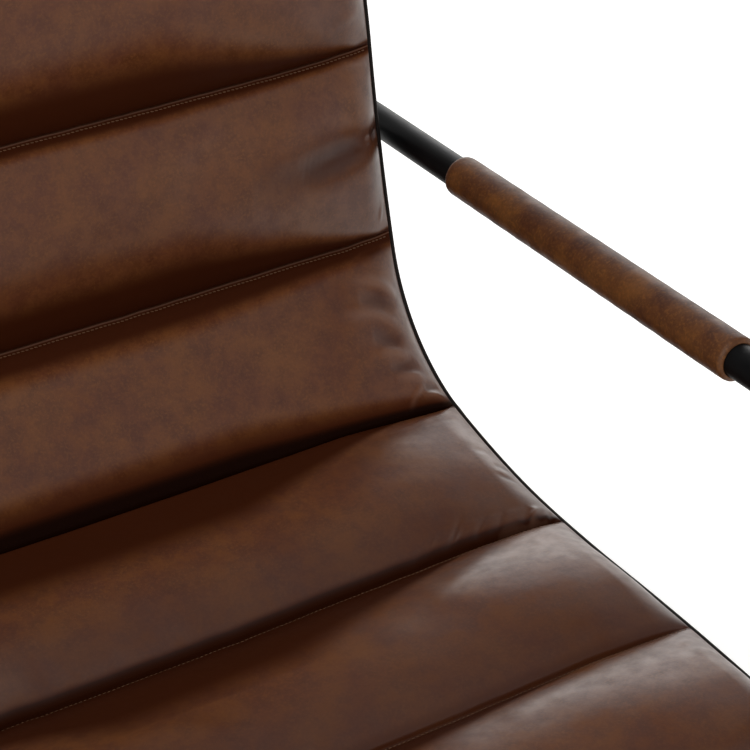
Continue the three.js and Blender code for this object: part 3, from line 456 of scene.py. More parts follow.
# Folds at the right edge, as the photograph shows them: x and s of three points, width and height, in mm.
PHOTO_FOLDS = [
    (256, -322, 270, -322, 284, -316, 3, 1.4),
    (284, -266, 288, -256, 270, -261, 4, -4.8),
    (277, -258, 272, -259, 268, -256, 2.2, 2.2),
    (275, -253, 244, -252, 201, -245, 15, -3.8),
    (230, -250, 188, -245, 157, -247, 18, -1.4),
    (280, -242, 260, -239, 235, -231, 10, 0.5),
    (281, -196, 278, -189, 277, -182, 2, 1),
    (288, -157, 268, -159, 244, -158, 6, -3.3),
    (238, -141, 268, -135, 275, -109, 5.5, 3),
    (239, -122, 258, -117, 273, -102, 9, -2.2),
    (222, -110, 253, -112, 265, -83, 5.5, 3),
    (239, -81, 256, -78, 264, -66, 9, -2.2),
    (237, -64, 257, -64, 265, -49, 5.5, 3),
    (244, -45, 259, -42, 271, -49, 9, -2.2),
    (243, -38, 260, -36, 273, -26, 5.5, 3),
    (267, -23, 258, -16, 249, -7, 2.2, 1.4),
    (267, -20, 274, -20, 283, -21, 3.5, -2),
    (262, -12, 279, -15, 285, -4, 3.2, 2),
    (225, 180, 258, 177, 286, 182, 20, 1.4),
    (286, 97, 280, 93, 270, 90, 2.6, -0.8),
    (279, 104, 273, 101, 266, 96, 2.6, 0.5),
    (280, 113, 272, 108, 266, 103, 2.6, -0.8),
    (277, 68, 271, 68, 265, 68, 3, -0.6),
    (276, 146, 269, 152, 261, 161, 2.4, 1.1),
    (270, 145, 262, 153, 254, 158, 4.5, -1.6),
    (285, 153, 280, 160, 277, 165, 2.4, -1.4),
    (282, 149, 274, 156, 269, 161, 3, -0.9),
    (207, 144, 195, 152, 183, 159, 2.4, -0.85),
    (221, 155, 215, 158, 209, 160, 2.4, -0.85),
    (232, 156, 226, 159, 221, 162, 2.4, -0.8),
    (156, 157, 150, 160, 142, 161, 2.4, -0.75),
    (285, 268, 277, 255, 277, 247, 2.6, -1),
    (190, 138, 178, 148, 166, 158, 2.4, -0.75),
    (235, 140, 222, 149, 210, 159, 2.6, -0.8),
    (172, 146, 163, 153, 152, 160, 2.3, -0.7),
    (248, 143, 240, 150, 230, 158, 2.4, -0.75),
    (215, 134, 203, 145, 192, 155, 2.4, -0.7),
]


def edge_folds(seed):
    """Short seeded folds that run in from the sides, square to the edge: on the left of every channel, and on
    the right of the back's top channel and the seat's front one.
    """
    drawn = np.random.default_rng(seed)
    folds = []
    for side, channels in ((-1, range(-3, 3)), (1, (-3, 2))):
        for channel in channels:
            for _ in range(5):
                s = (channel + drawn.uniform(0.08, 0.92)) * CHANNEL
                reach, lean = drawn.uniform(0.018, 0.05), drawn.uniform(-0.012, 0.012)
                bow = drawn.uniform(-0.006, 0.006)
                height = drawn.uniform(0.0004, 0.0011) * drawn.choice([-1, 1])
                x0, x1 = PAD_HALF - 0.008, PAD_HALF - 0.008 - reach
                bent_x, bent_s = (x0 + x1) / 2, s + lean / 2 + bow
                width = drawn.uniform(0.0028, 0.006)
                folds.append((side * x0, s, side * bent_x, bent_s, side * x1, s + lean, width, height))
    return folds


def blurred(values, places, width):
    """Values along their first axis, each the Gaussian mean of its neighbours within a width."""
    weights = np.exp(-(((places[:, None] - places) / width) ** 2))
    return np.tensordot(weights / weights.sum(1, keepdims=True), values, 1)


def channel_rows(first, last, per_channel, evenness):
    """Stations between two seams, closer together at the seams: s = n + mix of u and (1 - cos(pi u)) / 2."""
    u = np.linspace(0, 1, per_channel + 1)[:-1]
    share = evenness * u + (1 - evenness) * (1 - np.cos(np.pi * u)) / 2
    rows = (np.arange(first, last)[:, None] + share).ravel()
    return np.append(rows, last) * CHANNEL


def across_columns(count):
    """Places across the pad, closer together at its sides: x = W sin(k u) / sin(k)."""
    k = 0.93 * np.pi / 2
    return PAD_HALF * np.sin(k * np.linspace(-1, 1, count)) / np.sin(k)


def rounded_in(x, s, half, low, high, radius):
    """x drawn in so that the corners of the outline are round: half - r + sqrt(r^2 - (r - e)^2)."""
    e = np.clip(np.minimum(s - low, high - s), 0, radius)
    width = half - radius + np.sqrt(radius**2 - (radius - e) ** 2)
    return x * width / half


def blended(values, coarse, fine):
    """Cubic weights that carry values at even coarse places to fine places, as a matrix product."""
    at = np.interp(fine, coarse, np.arange(len(coarse)))
    i = np.clip(np.floor(at).astype(int), 0, len(coarse) - 2)
    t = at - i
    weights = np.zeros((len(fine), len(coarse)))
    parts = [
        (-1, -0.5 * t + t**2 - 0.5 * t**3),
        (0, 1 - 2.5 * t**2 + 1.5 * t**3),
        (1, 0.5 * t + 2 * t**2 - 1.5 * t**3),
        (2, -0.5 * t**2 + 0.5 * t**3),
    ]
    for step, part in parts:
        np.add.at(weights, (np.arange(len(fine)), np.clip(i + step, 0, len(coarse) - 1)), part)
    return np.tensordot(weights, values, 1)


def cloth_shift(name, channels, settings):
    """How pressure and slack move a cushion's face, on an even grid: a cloth run with the seams and rim held.

    What the middle does on average is taken off, and the rest is blurred and held below a limit c as
    shift / sqrt(1 + (length / c)^2).
    """
    columns = np.linspace(-PAD_HALF, PAD_HALF, 125)
    rows = np.arange(channels[0] * 36, channels[1] * 36 + 1) * CHANNEL / 36
    x, s = np.meshgrid(columns, rows)
    height = pillow(x, s, settings.crown) + 0.0006 * ripple(x, s, 11, 0.03)
    start = on_sling(x, s, -height)
    made = new_piece(name + "_cloth", start.reshape(-1, 3), [grid_quads(*x.shape)], None)
    held = np.zeros(x.shape, bool)
    held[[0, -1]] = held[:, [0, -1]] = True
    held |= np.abs(s / CHANNEL - np.round(s / CHANNEL)) < 1e-6
    group = made.vertex_groups.new(name="held")
    group.add(np.flatnonzero(held).tolist(), 1.0, "REPLACE")
    cloth = made.modifiers.new("cloth", "CLOTH")
    cloth.settings.quality = 7
    cloth.settings.mass = 0.25
    cloth.settings.tension_stiffness = cloth.settings.compression_stiffness = 22
    cloth.settings.shear_stiffness = 9
    cloth.settings.bending_stiffness = 3.0
    cloth.settings.use_pressure = True
    cloth.settings.uniform_pressure_force = 3.5
    cloth.settings.shrink_min = -settings.slack
    cloth.settings.vertex_group_mass = "held"
    cloth.settings.effector_weights.gravity = 0
    cloth.collision_settings.use_collision = False
    scene = bpy.context.scene
    for step in range(1, 21):
        scene.frame_set(step)
    shown = made.evaluated_get(bpy.context.evaluated_depsgraph_get())
    end = np.zeros(x.size * 3, np.float32)
    shown.data.vertices.foreach_get("co", end)
    scene.frame_set(1)
    bpy.data.objects.remove(made)
    shift = end.reshape(start.shape).astype(float) - start
    middle = np.abs(columns) < 0.17
    shift -= shift[:, middle].mean(1, keepdims=True)
    shift = blurred(blurred(shift, rows, 0.024).transpose(1, 0, 2), columns, 0.024).transpose(1, 0, 2)
    length = np.linalg.norm(shift, axis=-1, keepdims=True)
    return columns, rows, shift / np.hypot(1, length / settings.cap)


class Face:
    """A cushion's sitter face on its fine grid, which seams and thread are laid on."""

    def __init__(self, name, channels, settings):
        self.columns = across_columns(321)
        self.rows = channel_rows(*channels, 84, 0.12)
        x, s = np.meshgrid(self.columns, self.rows)
        low, high = (-BACK_LENGTH, 1.0) if channels[0] < 0 else (-1.0, SEAT_LENGTH)
        x = rounded_in(x, s, PAD_HALF, low, high, CORNER)
        self.height = pillow(x, s, settings.crown) + seam_form(x, s)
        inside = quarter_round(0.06 + (PAD_HALF - np.abs(x)) / 0.009) * quarter_round(
            np.abs(s / CHANNEL - np.round(s / CHANNEL)) * 14
        )
        folds = [tuple(v / 1000 for v in fold) for fold in PHOTO_FOLDS] + edge_folds(5)
        fine = [fold for fold in folds if fold[6] < 0.003 and fold[7] < 0]
        uneven = 0.0008 * ripple(x, s, 3, 0.085) + 0.0002 * ripple(x, s, 4, 0.036)
        drift = seam_drift(x, s)
        self.folds = fold_field(x, s + drift, folds)
        self.creases = fold_field(x, s + drift, fine)
        self.height += inside * (uneven + self.folds)
        self.points = on_sling(x, s + drift, -self.height)
        columns, rows, shift = cloth_shift(name, channels, settings)
        carried = blended(shift, rows, self.rows)
        carried = blended(carried.transpose(1, 0, 2), columns, self.columns).transpose(1, 0, 2)
        self.points = self.points + carried * inside[..., None]
        self.x, self.s = x, s

    def at(self, x, s):
        """Points of the face at x and s, read between the grid's points."""
        c = np.interp(x, self.columns, np.arange(len(self.columns)))
        r = np.interp(s, self.rows, np.arange(len(self.rows)))
        c0 = np.clip(c.astype(int), 0, len(self.columns) - 2)
        r0 = np.clip(r.astype(int), 0, len(self.rows) - 2)
        u, v = (c - c0)[..., None], (r - r0)[..., None]
        p = self.points
        low = p[r0, c0] * (1 - u) + p[r0, c0 + 1] * u
        high = p[r0 + 1, c0] * (1 - u) + p[r0 + 1, c0 + 1] * u
        return low * (1 - v) + high * v


# The cushions' faces, which the stitching is laid on.
faces_made = {}


def cushion(name, channels, settings):
    """A closed pad and its tints: the face, a rim down to the back plane and rings of the rim that shrink to
    its middle. Shade is painted beside the seams, in the crease, in the folds' valleys and in fine creases.
    Highlights are painted on the seam lips, and a lighter tone, partly painted sheen, on the folds' ridges."""
    face = faces_made[name] = Face(name, channels, settings)
    rows, columns = face.x.shape
    rim = rim_of(np.arange(rows * columns).reshape(rows, columns))
    rim_x, rim_s = face.x.ravel()[rim], face.s.ravel()[rim]
    share = np.linspace(0, 1, 16)[:-1, None]
    middle_s = (rim_s.min() + rim_s.max()) / 2
    ring = on_sling(rim_x * (1 - share), middle_s + (rim_s - middle_s) * (1 - share), PAD_DEPTH)
    centre = on_sling(0.0, middle_s, PAD_DEPTH)
    points = np.concatenate([face.points.reshape(-1, 3), ring.reshape(-1, 3), centre.reshape(1, 3)])
    n, m = rows * columns, len(rim)
    wall = np.stack([rim, np.roll(rim, -1), n + (np.arange(m) + 1) % m, n + np.arange(m)], 1)[:, ::-1]
    back = grid_quads(len(share), m, wrap_columns=True)[:, ::-1] + n
    last = fan(np.arange(m) + n + (len(share) - 1) * m, len(points) - 1)[:, ::-1]
    # Painted shade beside the seams, strongest in the crease, and painted shade in the folds' valleys and
    # fine creases; the seam attribute is one less this shade.
    dark, dull = painted_seam_shade_and_dulling(face.x.ravel(), face.s.ravel(), channels[0] < 0)
    dark = np.maximum(dark, np.clip(-face.folds.ravel() / 0.004, 0, 0.75))
    dark = np.maximum(dark, np.clip(-face.creases.ravel() / 0.0011, 0, 0.7))
    # Painted highlight: a thin light line on each seam's lip, and a lighter tone on the folds' ridges that is
    # partly the leather lightening where stretched and partly painted sheen, carried as the fold attribute.
    t = seam_distance(face.s.ravel())
    lip = np.exp(-(((t - 0.0006) / 0.0004) ** 2))
    seam, polish, fold = np.ones(len(points)), np.ones(len(points)), np.zeros(len(points))
    seam[:n], polish[:n] = 1 - dark, 1 - dull
    fold[:n] = np.maximum(lip, 0.9 * np.clip(face.folds.ravel() / 0.0024, 0, 1))
    faces = outwards(points, [grid_quads(rows, columns), wall, back, last])
    return (points, faces), {"seam": seam, "polish": polish, "fold": fold}


def stitch_row(place_at, start, length, settings):
    """Points and faces of a row of stitches, each a closed spindle r = R sqrt(1 - |u|^3) about its own line,
    which leans by 0.12 of its length."""
    pitch, half, thread_r = settings.pitch, settings.stitch / 2, settings.thread
    count = int(length / pitch)
    at = start + (np.arange(count) + 0.5) * pitch
    a, b = place_at(at - half, -0.12 * half), place_at(at + half, 0.12 * half)
    lift = place_at(at, 0.0, 0.001) - place_at(at, 0.0, 0.0)
    along, up = b - a, unit(lift)
    sideways = unit(np.cross(along, up))
    u = np.linspace(-1, 1, 7)[1:-1]
    angle = round_angles(6)
    r = thread_r * (1 - np.abs(u) ** 3) ** 0.5
    line = (a + b)[:, None] / 2 + along[:, None] * u[:, None] / 2 + up[:, None] * thread_r * 0.35
    ring = np.cos(angle)[:, None] * sideways[:, None, None] + np.sin(angle)[:, None] * up[:, None, None]
    body = line[:, :, None] + r[:, None, None] * ring
    points = np.concatenate([body.reshape(count, -1, 3), a[:, None], b[:, None]], 1)
    n = len(u) * 6
    step = (np.arange(count) * (n + 2))[:, None, None]
    quads = (grid_quads(len(u), 6, wrap_columns=True) + step).reshape(-1, 4)
    caps = (end_fans(6, n) + step).reshape(-1, 3)
    points = points.reshape(-1, 3)
    return points, outwards(points, [quads, caps])


def merged(*parts):
    """One set of points and faces from several."""
    points, faces, offset = [], [], 0
    for part_points, part_faces in parts:
        points.append(part_points)
        faces += [group + offset for group in part_faces]
        offset += len(part_points)
    return np.concatenate(points), faces


def rim_path(half, low, high, radius):
    """The sling's outline in (x, s) once round, a point every 6 mm, and its outward normals. A corner is a
    quarter circle, c + r (cos a, sin a)."""
    angle = np.linspace(0, np.pi / 2, 11)
    run_s = np.linspace(low + radius, high - radius, int((high - low) / 0.006))[1:-1]
    run_x = np.linspace(-half + radius, half - radius, int(2 * half / 0.006))[1:-1]
    pieces = []
    corners = [(half, low, -np.pi / 2), (half, high, 0), (-half, high, np.pi / 2), (-half, low, np.pi)]
    runs = [
        (np.full_like(run_s, half), run_s, 0),
        (run_x[::-1], np.full_like(run_x, high), np.pi / 2),
        (np.full_like(run_s, -half), run_s[::-1], np.pi),
        (run_x, np.full_like(run_x, low), -np.pi / 2),
    ]
    for (cx, cs, turn), (xs, ss, facing) in zip(corners, runs):
        middle_x, middle_s = cx - math.copysign(radius, cx), cs + (radius if cs == low else -radius)
        c, v = np.cos(angle + turn), np.sin(angle + turn)
        pieces.append(np.stack([middle_x + radius * c, middle_s + radius * v, c, v], 1))
        ones = np.ones_like(xs)
        pieces.append(np.stack([xs, ss, np.cos(facing) * ones, np.sin(facing) * ones], 1))
    return np.concatenate(pieces)


def edging(path, out, depth):
    """A closed strip round the sling: on_sling(x + n_x out, s + n_s out, depth) for each section point."""
    x = path[:, :1] + path[:, 2:3] * out
    s = path[:, 1:2] + path[:, 3:] * out
    points = on_sling(x, s, np.broadcast_to(depth, x.shape)).reshape(-1, 3)
    faces = [grid_quads(x.shape[0], x.shape[1], wrap_rows=True, wrap_columns=True)]
    return points, outwards(points, faces)


# ---- finishes ----


def add_node(tree, kind, settings=None, inputs=None):
    """One node, with its own settings, and values or other nodes' outputs on its inputs."""
    node = tree.nodes.new(kind)
    for key, value in (settings or {}).items():
        setattr(node, key, value)
    for key, value in (inputs or {}).items():
        if isinstance(value, bpy.types.NodeSocket):
            tree.links.new(value, node.inputs[key])
        else:
            node.inputs[key].default_value = value
    return node


def new_finish(name):
    """An empty material with its tree, its output and its object coordinates."""
    finish = bpy.data.materials.new(name)
    finish.use_nodes = True
    tree = finish.node_tree
    tree.nodes.clear()
    output = add_node(tree, "ShaderNodeOutputMaterial")
    where = add_node(tree, "ShaderNodeTexCoord").outputs["Object"]
    return finish, tree, output, where


def noise(tree, where, size, detail, roughness=0.5):
    """Noise whose features are size metres across."""
    inputs = {"Vector": where, "Scale": 1 / size, "Detail": detail, "Roughness": roughness}
    return add_node(tree, "ShaderNodeTexNoise", inputs=inputs).outputs["Fac"]


def ranged(tree, value, low, high, to_low=0.0, to_high=1.0):
    """A value carried from one range to another and held inside it."""
    inputs = {0: value, 1: low, 2: high, 3: to_low, 4: to_high}
    return add_node(tree, "ShaderNodeMapRange", inputs=inputs).outputs[0]


def mixed(tree, factor, a, b):
    """Colours a and b mixed by factor."""
    return add_node(tree, "ShaderNodeMix", {"data_type": "RGBA"}, {0: factor, 6: a, 7: b}).outputs[2]


def maths(tree, operation, a, b=0.5):
    """One operation on one or two values."""
    return add_node(tree, "ShaderNodeMath", {"operation": operation}, {0: a, 1: b}).outputs[0]


def bumped(tree, height, distance, strength, normal=None):
    """A height pattern as a bump, on top of another bump if one is given."""
    inputs = {"Height": height, "Distance": distance, "Strength": strength}
    if normal:
        inputs["Normal"] = normal
    return add_node(tree, "ShaderNodeBump", inputs=inputs).outputs["Normal"]


def shaded(tree, output, **inputs):
    """A Principled shader on the output, its sockets named with _ for each space."""
    names = {key.replace("_", " "): value for key, value in inputs.items()}
    shader = add_node(tree, "ShaderNodeBsdfPrincipled", inputs=names)
    tree.links.new(shader.outputs[0], output.inputs["Surface"])


def leather(name, dark, mid, amber, gloss, shine, fleck, seams=False):
    """Drum-dyed, waxed pull-up cowhide, finished smooth: hand-rubbed dye leaves clouds 45 mm across and
    smudges of 14 mm, and the wax gives a broad soft gloss. The pores' specks and the hair-cell grain are
    finer than the render shows, so they are drawn at 2.4 mm and 1.3 mm."""
    finish, tree, output, where = new_finish(name)
    clouds = noise(tree, where, 0.045, 3.0, 0.55)
    smudges = noise(tree, where, 0.014, 3.0, 0.6)
    speckle = noise(tree, where, 0.0024, 3.0, 0.65)
    colour = mixed(tree, ranged(tree, clouds, 0.4, 0.68, 0.0, 0.75), mid, amber)
    colour = mixed(tree, ranged(tree, smudges, 0.42, 0.72, 0.0, 0.42), colour, dark)
    colour = mixed(tree, ranged(tree, smudges, 0.5, 0.3, 0.0, 0.35), colour, amber)
    rubbed = ranged(tree, clouds, 0.35, 0.65, 0.35, 1.0)
    flecks = maths(tree, "MULTIPLY", ranged(tree, speckle, 0.5, 0.66), rubbed)
    colour = mixed(tree, ranged(tree, flecks, 0.0, 1.0, 0.0, fleck), colour, amber)
    colour = mixed(tree, ranged(tree, speckle, 0.5, 0.3, 0.0, 0.12), colour, dark)
    normal = bumped(tree, noise(tree, where, 0.0013, 1.0, 0.5), 0.00012, 0.35)
    normal = bumped(tree, noise(tree, where, 0.009, 1.0, 0.5), 0.0006, 0.2, normal)
    rough = ranged(tree, smudges, 0.3, 0.7, gloss - 0.05, gloss + 0.09)
    if seams:
        seam, polish, fold = (
            add_node(tree, "ShaderNodeAttribute", {"attribute_name": key}).outputs["Fac"]
            for key in ("seam", "polish", "fold")
        )
        # Painted shade: as the seam attribute falls the dye goes to the dark colour, and to near black in the
        # painted shadow of the crease.
        colour = mixed(tree, ranged(tree, seam, 0.12, 1.0, 1.0, 0.0), colour, dark)
        colour = mixed(tree, ranged(tree, seam, 0.0, 0.12, 0.9, 0.0), colour, linear("#0c0301"))
        # Painted highlight on the seam lips, and a lighter tone on the folds' ridges that is partly the
        # leather lightening where stretched and partly painted sheen.
        colour = mixed(tree, ranged(tree, fold, 0.0, 1.0, 0.0, 0.6), colour, linear("#84604e"))
        shine = ranged(tree, polish, 0.0, 1.0, 0.02, shine)
    shaded(tree, output, Base_Color=colour, Roughness=rough, Normal=normal, Specular_IOR_Level=shine)
    return finish


def coated_steel(name, colour, roughness):
    """Steel with a baked black powder coat: satin, with an orange peel of 1.1 mm in its highlights."""
    finish, tree, output, where = new_finish(name)
    peel = noise(tree, where, 0.0011, 2.0, 0.5)
    dust = noise(tree, where, 0.03, 3.0, 0.6)
    rough = ranged(tree, dust, 0.3, 0.7, roughness - 0.04, roughness + 0.06)
    normal = bumped(tree, peel, 0.00005, 0.5)
    lighter = mixed(tree, ranged(tree, dust, 0.4, 0.7, 0.0, 0.25), colour, linear("#121213"))
    shaded(tree, output, Base_Color=lighter, Roughness=rough, Normal=normal, Specular_IOR_Level=0.16)
    return finish


def bare_steel(name, colour, roughness, metallic=1.0):
    """Turned or drawn steel with a thin plating: tool marks, drawn coarser at 0.4 mm, and a mild tarnish."""
    finish, tree, output, where = new_finish(name)
    marks = noise(tree, where, 0.0004, 1.0, 0.4)
    tarnish = noise(tree, where, 0.012, 3.0, 0.6)
    tone = mixed(tree, ranged(tree, tarnish, 0.4, 0.75, 0.0, 0.4), colour, linear("#5c5d5f"))
    rough = ranged(tree, tarnish, 0.3, 0.7, roughness - 0.05, roughness + 0.12)
    normal = bumped(tree, marks, 0.00002, 0.4)
    shaded(tree, output, Base_Color=tone, Roughness=rough, Normal=normal, Metallic=metallic)
    return finish


def moulded(name, colour, worn, roughness):
    """Moulded nylon or rubber: an even colour, scuffs, and a mould texture drawn coarser at 0.7 mm."""
    finish, tree, output, where = new_finish(name)
    scuffs = noise(tree, where, 0.008, 4.0, 0.7)
    tone = mixed(tree, ranged(tree, scuffs, 0.5, 0.8, 0.0, 0.6), colour, worn)
    normal = bumped(tree, noise(tree, where, 0.0007, 2.0), 0.00004, 0.6)
    shaded(tree, output, Base_Color=tone, Roughness=roughness, Normal=normal)
    return finish


def thread_finish(name, colour, shade):
    """Waxed bonded polyester thread: its twist mottles each stitch every 0.5 mm."""
    finish, tree, output, where = new_finish(name)
    twist = noise(tree, where, 0.0005, 1.0)
    tone = mixed(tree, ranged(tree, twist, 0.35, 0.65), colour, shade)
    shaded(tree, output, Base_Color=tone, Roughness=0.55, Normal=bumped(tree, twist, 0.00005, 0.5))
    return finish


def woven(name, colour, shade):
    """Polypropylene cloth in plain weave, dull: its yarns of about 0.5 mm are drawn at 2 mm to show."""
    finish, tree, output, where = new_finish(name)
    parts = add_node(tree, "ShaderNodeSeparateXYZ", inputs={0: where}).outputs
    turn = np.pi / 0.002
    warp = maths(tree, "SINE", maths(tree, "MULTIPLY", parts["X"], turn))
    weft = maths(tree, "SINE", maths(tree, "MULTIPLY", maths(tree, "ADD", parts["Y"], parts["Z"]), turn))
    weave = maths(tree, "MULTIPLY", warp, weft)
    tone = mixed(tree, ranged(tree, weave, -1.0, 1.0), colour, shade)
    shaded(tree, output, Base_Color=tone, Roughness=0.9, Normal=bumped(tree, weave, 0.0002, 0.6))
    return finish


# The finishes made so far.
finishes = {}


def finish_of(key):
    """One of the chair's finishes, made when it is first asked for."""
    if key not in finishes:
        colours = bpy.context.scene.rocker_colours
        makers = {
            "leather": lambda: leather("Waxed brown pull-up leather", colours.leather_dark_and_shade[:],
                                       colours.leather[:], colours.leather_amber[:], 0.33, 0.5, 0.9, True),
            "grip_leather": lambda: leather("Waxed brown grip leather", linear("#341a0b"),
                                            linear("#4c2712"), linear("#74471f"), 0.46, 0.34, 1.0),
            "dark_leather": lambda: leather("Espresso binding leather", linear("#070403"),
                                            linear("#110a07"), linear("#1c100b"), 0.5, 0.14, 0.3),
            "black_steel": lambda: coated_steel("Black powder-coated steel", colours.powder_coat[:], 0.42),
            "zinc_steel": lambda: bare_steel("Zinc-plated turned steel", linear("#a9abad"), 0.36),
            "spring_steel": lambda: bare_steel("Phosphated spring wire", linear("#34363a"), 0.42, 0.85),
            "nylon": lambda: moulded("Moulded natural nylon", linear("#d9d6cc"), linear("#b9b4a4"), 0.5),
            "black_rubber": lambda: moulded("Moulded black rubber", linear("#1b1b1b"), linear("#2e2d2c"),
                                            0.85),
            "web_cloth": lambda: woven("Woven suspension cloth", linear("#23211f"), linear("#3a3733")),
            "thread": lambda: thread_finish("Waxed tan thread", colours.thread[:], linear("#5b3a20")),
        }
        finishes[key] = makers[key]()
    return finishes[key]


def dress_node(node, key):
    """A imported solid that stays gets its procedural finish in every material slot."""
    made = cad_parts[node]
    for i in range(len(made.material_slots)):
        made.material_slots[i].link = "OBJECT"
        made.material_slots[i].material = finish_of(key)


# ---- properties ----


class RockerSling(bpy.types.PropertyGroup):
    """Sizes of the leather sling."""

    crown: FloatProperty(name="Crown", description="Height of a channel's crown above the piping's plane",
                         default=0.030, min=0.012, max=0.035, unit="LENGTH")
    slack: FloatProperty(name="Slack", description="Spare leather in the cushions, as a share of its length",
                         default=0.004, min=0.0, max=0.06, subtype="FACTOR")
    cap: FloatProperty(name="Slack limit", description="The furthest that slack moves the leather",
                       default=0.0015, min=0.0, max=0.01, unit="LENGTH")
    stitch: FloatProperty(name="Stitch", description="Length of one stitch", default=0.0029, unit="LENGTH")
    pitch: FloatProperty(name="Stitch pitch", description="From one stitch to the next",
                         default=0.0037, unit="LENGTH")
    thread: FloatProperty(name="Thread", description="Radius of the thread", default=0.00046, unit="LENGTH")


class RockerFrame(bpy.types.PropertyGroup):
    """Detail of the steel."""

    sides: IntProperty(name="Tube sides", description="Faces round a tube", default=40, min=12, max=96)
    weld: FloatProperty(name="Weld bead", description="Radius of a weld bead", default=0.0019, unit="LENGTH")


class RockerColours(bpy.types.PropertyGroup):
    """Colours a maker would change."""

    leather: FloatVectorProperty(name="Leather", description="The leather's main dye", size=4,
                                 subtype="COLOR", default=linear("#5d3421"), min=0, max=1)
    # The smudges' dark dye, and also the colour of the shade painted beside the seams, in the crease and in
    # fold valleys.
    leather_dark_and_shade: FloatVectorProperty(name="Leather in seams", description="The dye where it gathers",
                                      size=4, subtype="COLOR", default=linear("#3a190a"), min=0, max=1)
    leather_amber: FloatVectorProperty(name="Leather amber", description="The dye where it is rubbed back",
                                       size=4, subtype="COLOR", default=linear("#6e4222"), min=0, max=1)
    thread: FloatVectorProperty(name="Thread", description="The sewing thread", size=4, subtype="COLOR",
                                default=linear("#674528"), min=0, max=1)
    powder_coat: FloatVectorProperty(name="Powder coat", description="The tube frame's coat", size=4,
                                     subtype="COLOR", default=linear("#050506"), min=0, max=1)
    floor: FloatVectorProperty(name="Floor", description="The studio floor and cove", size=4,
                               subtype="COLOR", default=linear("#f2f1ef"), min=0, max=1)


# ---- pieces ----


class ROCKER_OT_cushions(bpy.types.Operator):
    """Make the back and seat cushions"""

    bl_idname = "rocker.cushions"
    bl_label = "Cushions"

    def execute(self, context):
        settings = context.scene.rocker_sling
        for name, channels in (("back_cushion", (-3, 0)), ("seat_cushion", (0, 3))):
            shape, tints = cushion(name + "_leather", channels, settings)
            made = fitted(name + "_leather", shape, "seat", "brown_leather", name, finish="leather",
                          attributes=tints)
        return {"FINISHED"}


class ROCKER_OT_stitching(bpy.types.Operator):
    """Sew a row of thread along every channel seam of the cushions"""

    bl_idname = "rocker.stitching"
    bl_label = "Seam stitching"

    def execute(self, context):
        settings = context.scene.rocker_sling
        for i, seam in enumerate(SEAMS):
            face = faces_made["back_cushion_leather" if seam < 0 else "seat_cushion_leather"]

            def place_at(x, aside, lift=0.0):
                p = face.at(x, np.full_like(x, seam + THREAD_AHEAD) + aside)
                heading = raw_edge_line(seam)[2]
                return p - lift * np.array([0, np.cos(heading), -np.sin(heading)])

            half = PAD_HALF - 0.001
            row = stitch_row(place_at, -half, 2 * half, settings)
            fitted(f"seam_thread_{i + 1}", row, "seat", "brown_leather", finish="thread")
        return {"FINISHED"}


class ROCKER_OT_edge(bpy.types.Operator):
    """Run the dark piping and the boxing strip round the sling"""

    bl_idname = "rocker.edge"
    bl_label = "Piping and boxing strip"

    def execute(self, context):
        r, angle = PIPING_R, round_angles(18)
        path = rim_path(HALF_WIDTH - r, -BACK_LENGTH - 0.001 + r, SEAT_LENGTH + 0.001 - r, CORNER)
        lap = 1 + 0.22 * np.exp(-(((path[:, 1:2] - 0.004) / 0.007) ** 2)) * (np.abs(path[:, :1]) > 0.28)
        uneven = 1 + 0.03 * ripple(path[:, :1], path[:, 1:2], 8, 0.05)
        shape = edging(path, r * np.cos(angle) * lap * uneven, -r + r * np.sin(angle) * uneven)
        fitted("edge_piping_cord", shape, "seat", "dark_leather", "edge_piping")

        depth = np.concatenate([np.linspace(*BAND_DEPTHS, 13), np.linspace(*BAND_DEPTHS[::-1], 13)])
        outer = np.sin(np.pi * np.linspace(0, 1, 13)) ** 0.5
        out = np.concatenate([0.0004 + 0.0012 * outer, np.full(13, -0.0008)])
        path = rim_path(HALF_WIDTH - 0.001, -BACK_LENGTH - 0.0013, SEAT_LENGTH + 0.0013, CORNER + 0.003)
        fitted("border_band_strip", edging(path, out, depth), "seat", "dark_leather", "border_band")
        return {"FINISHED"}


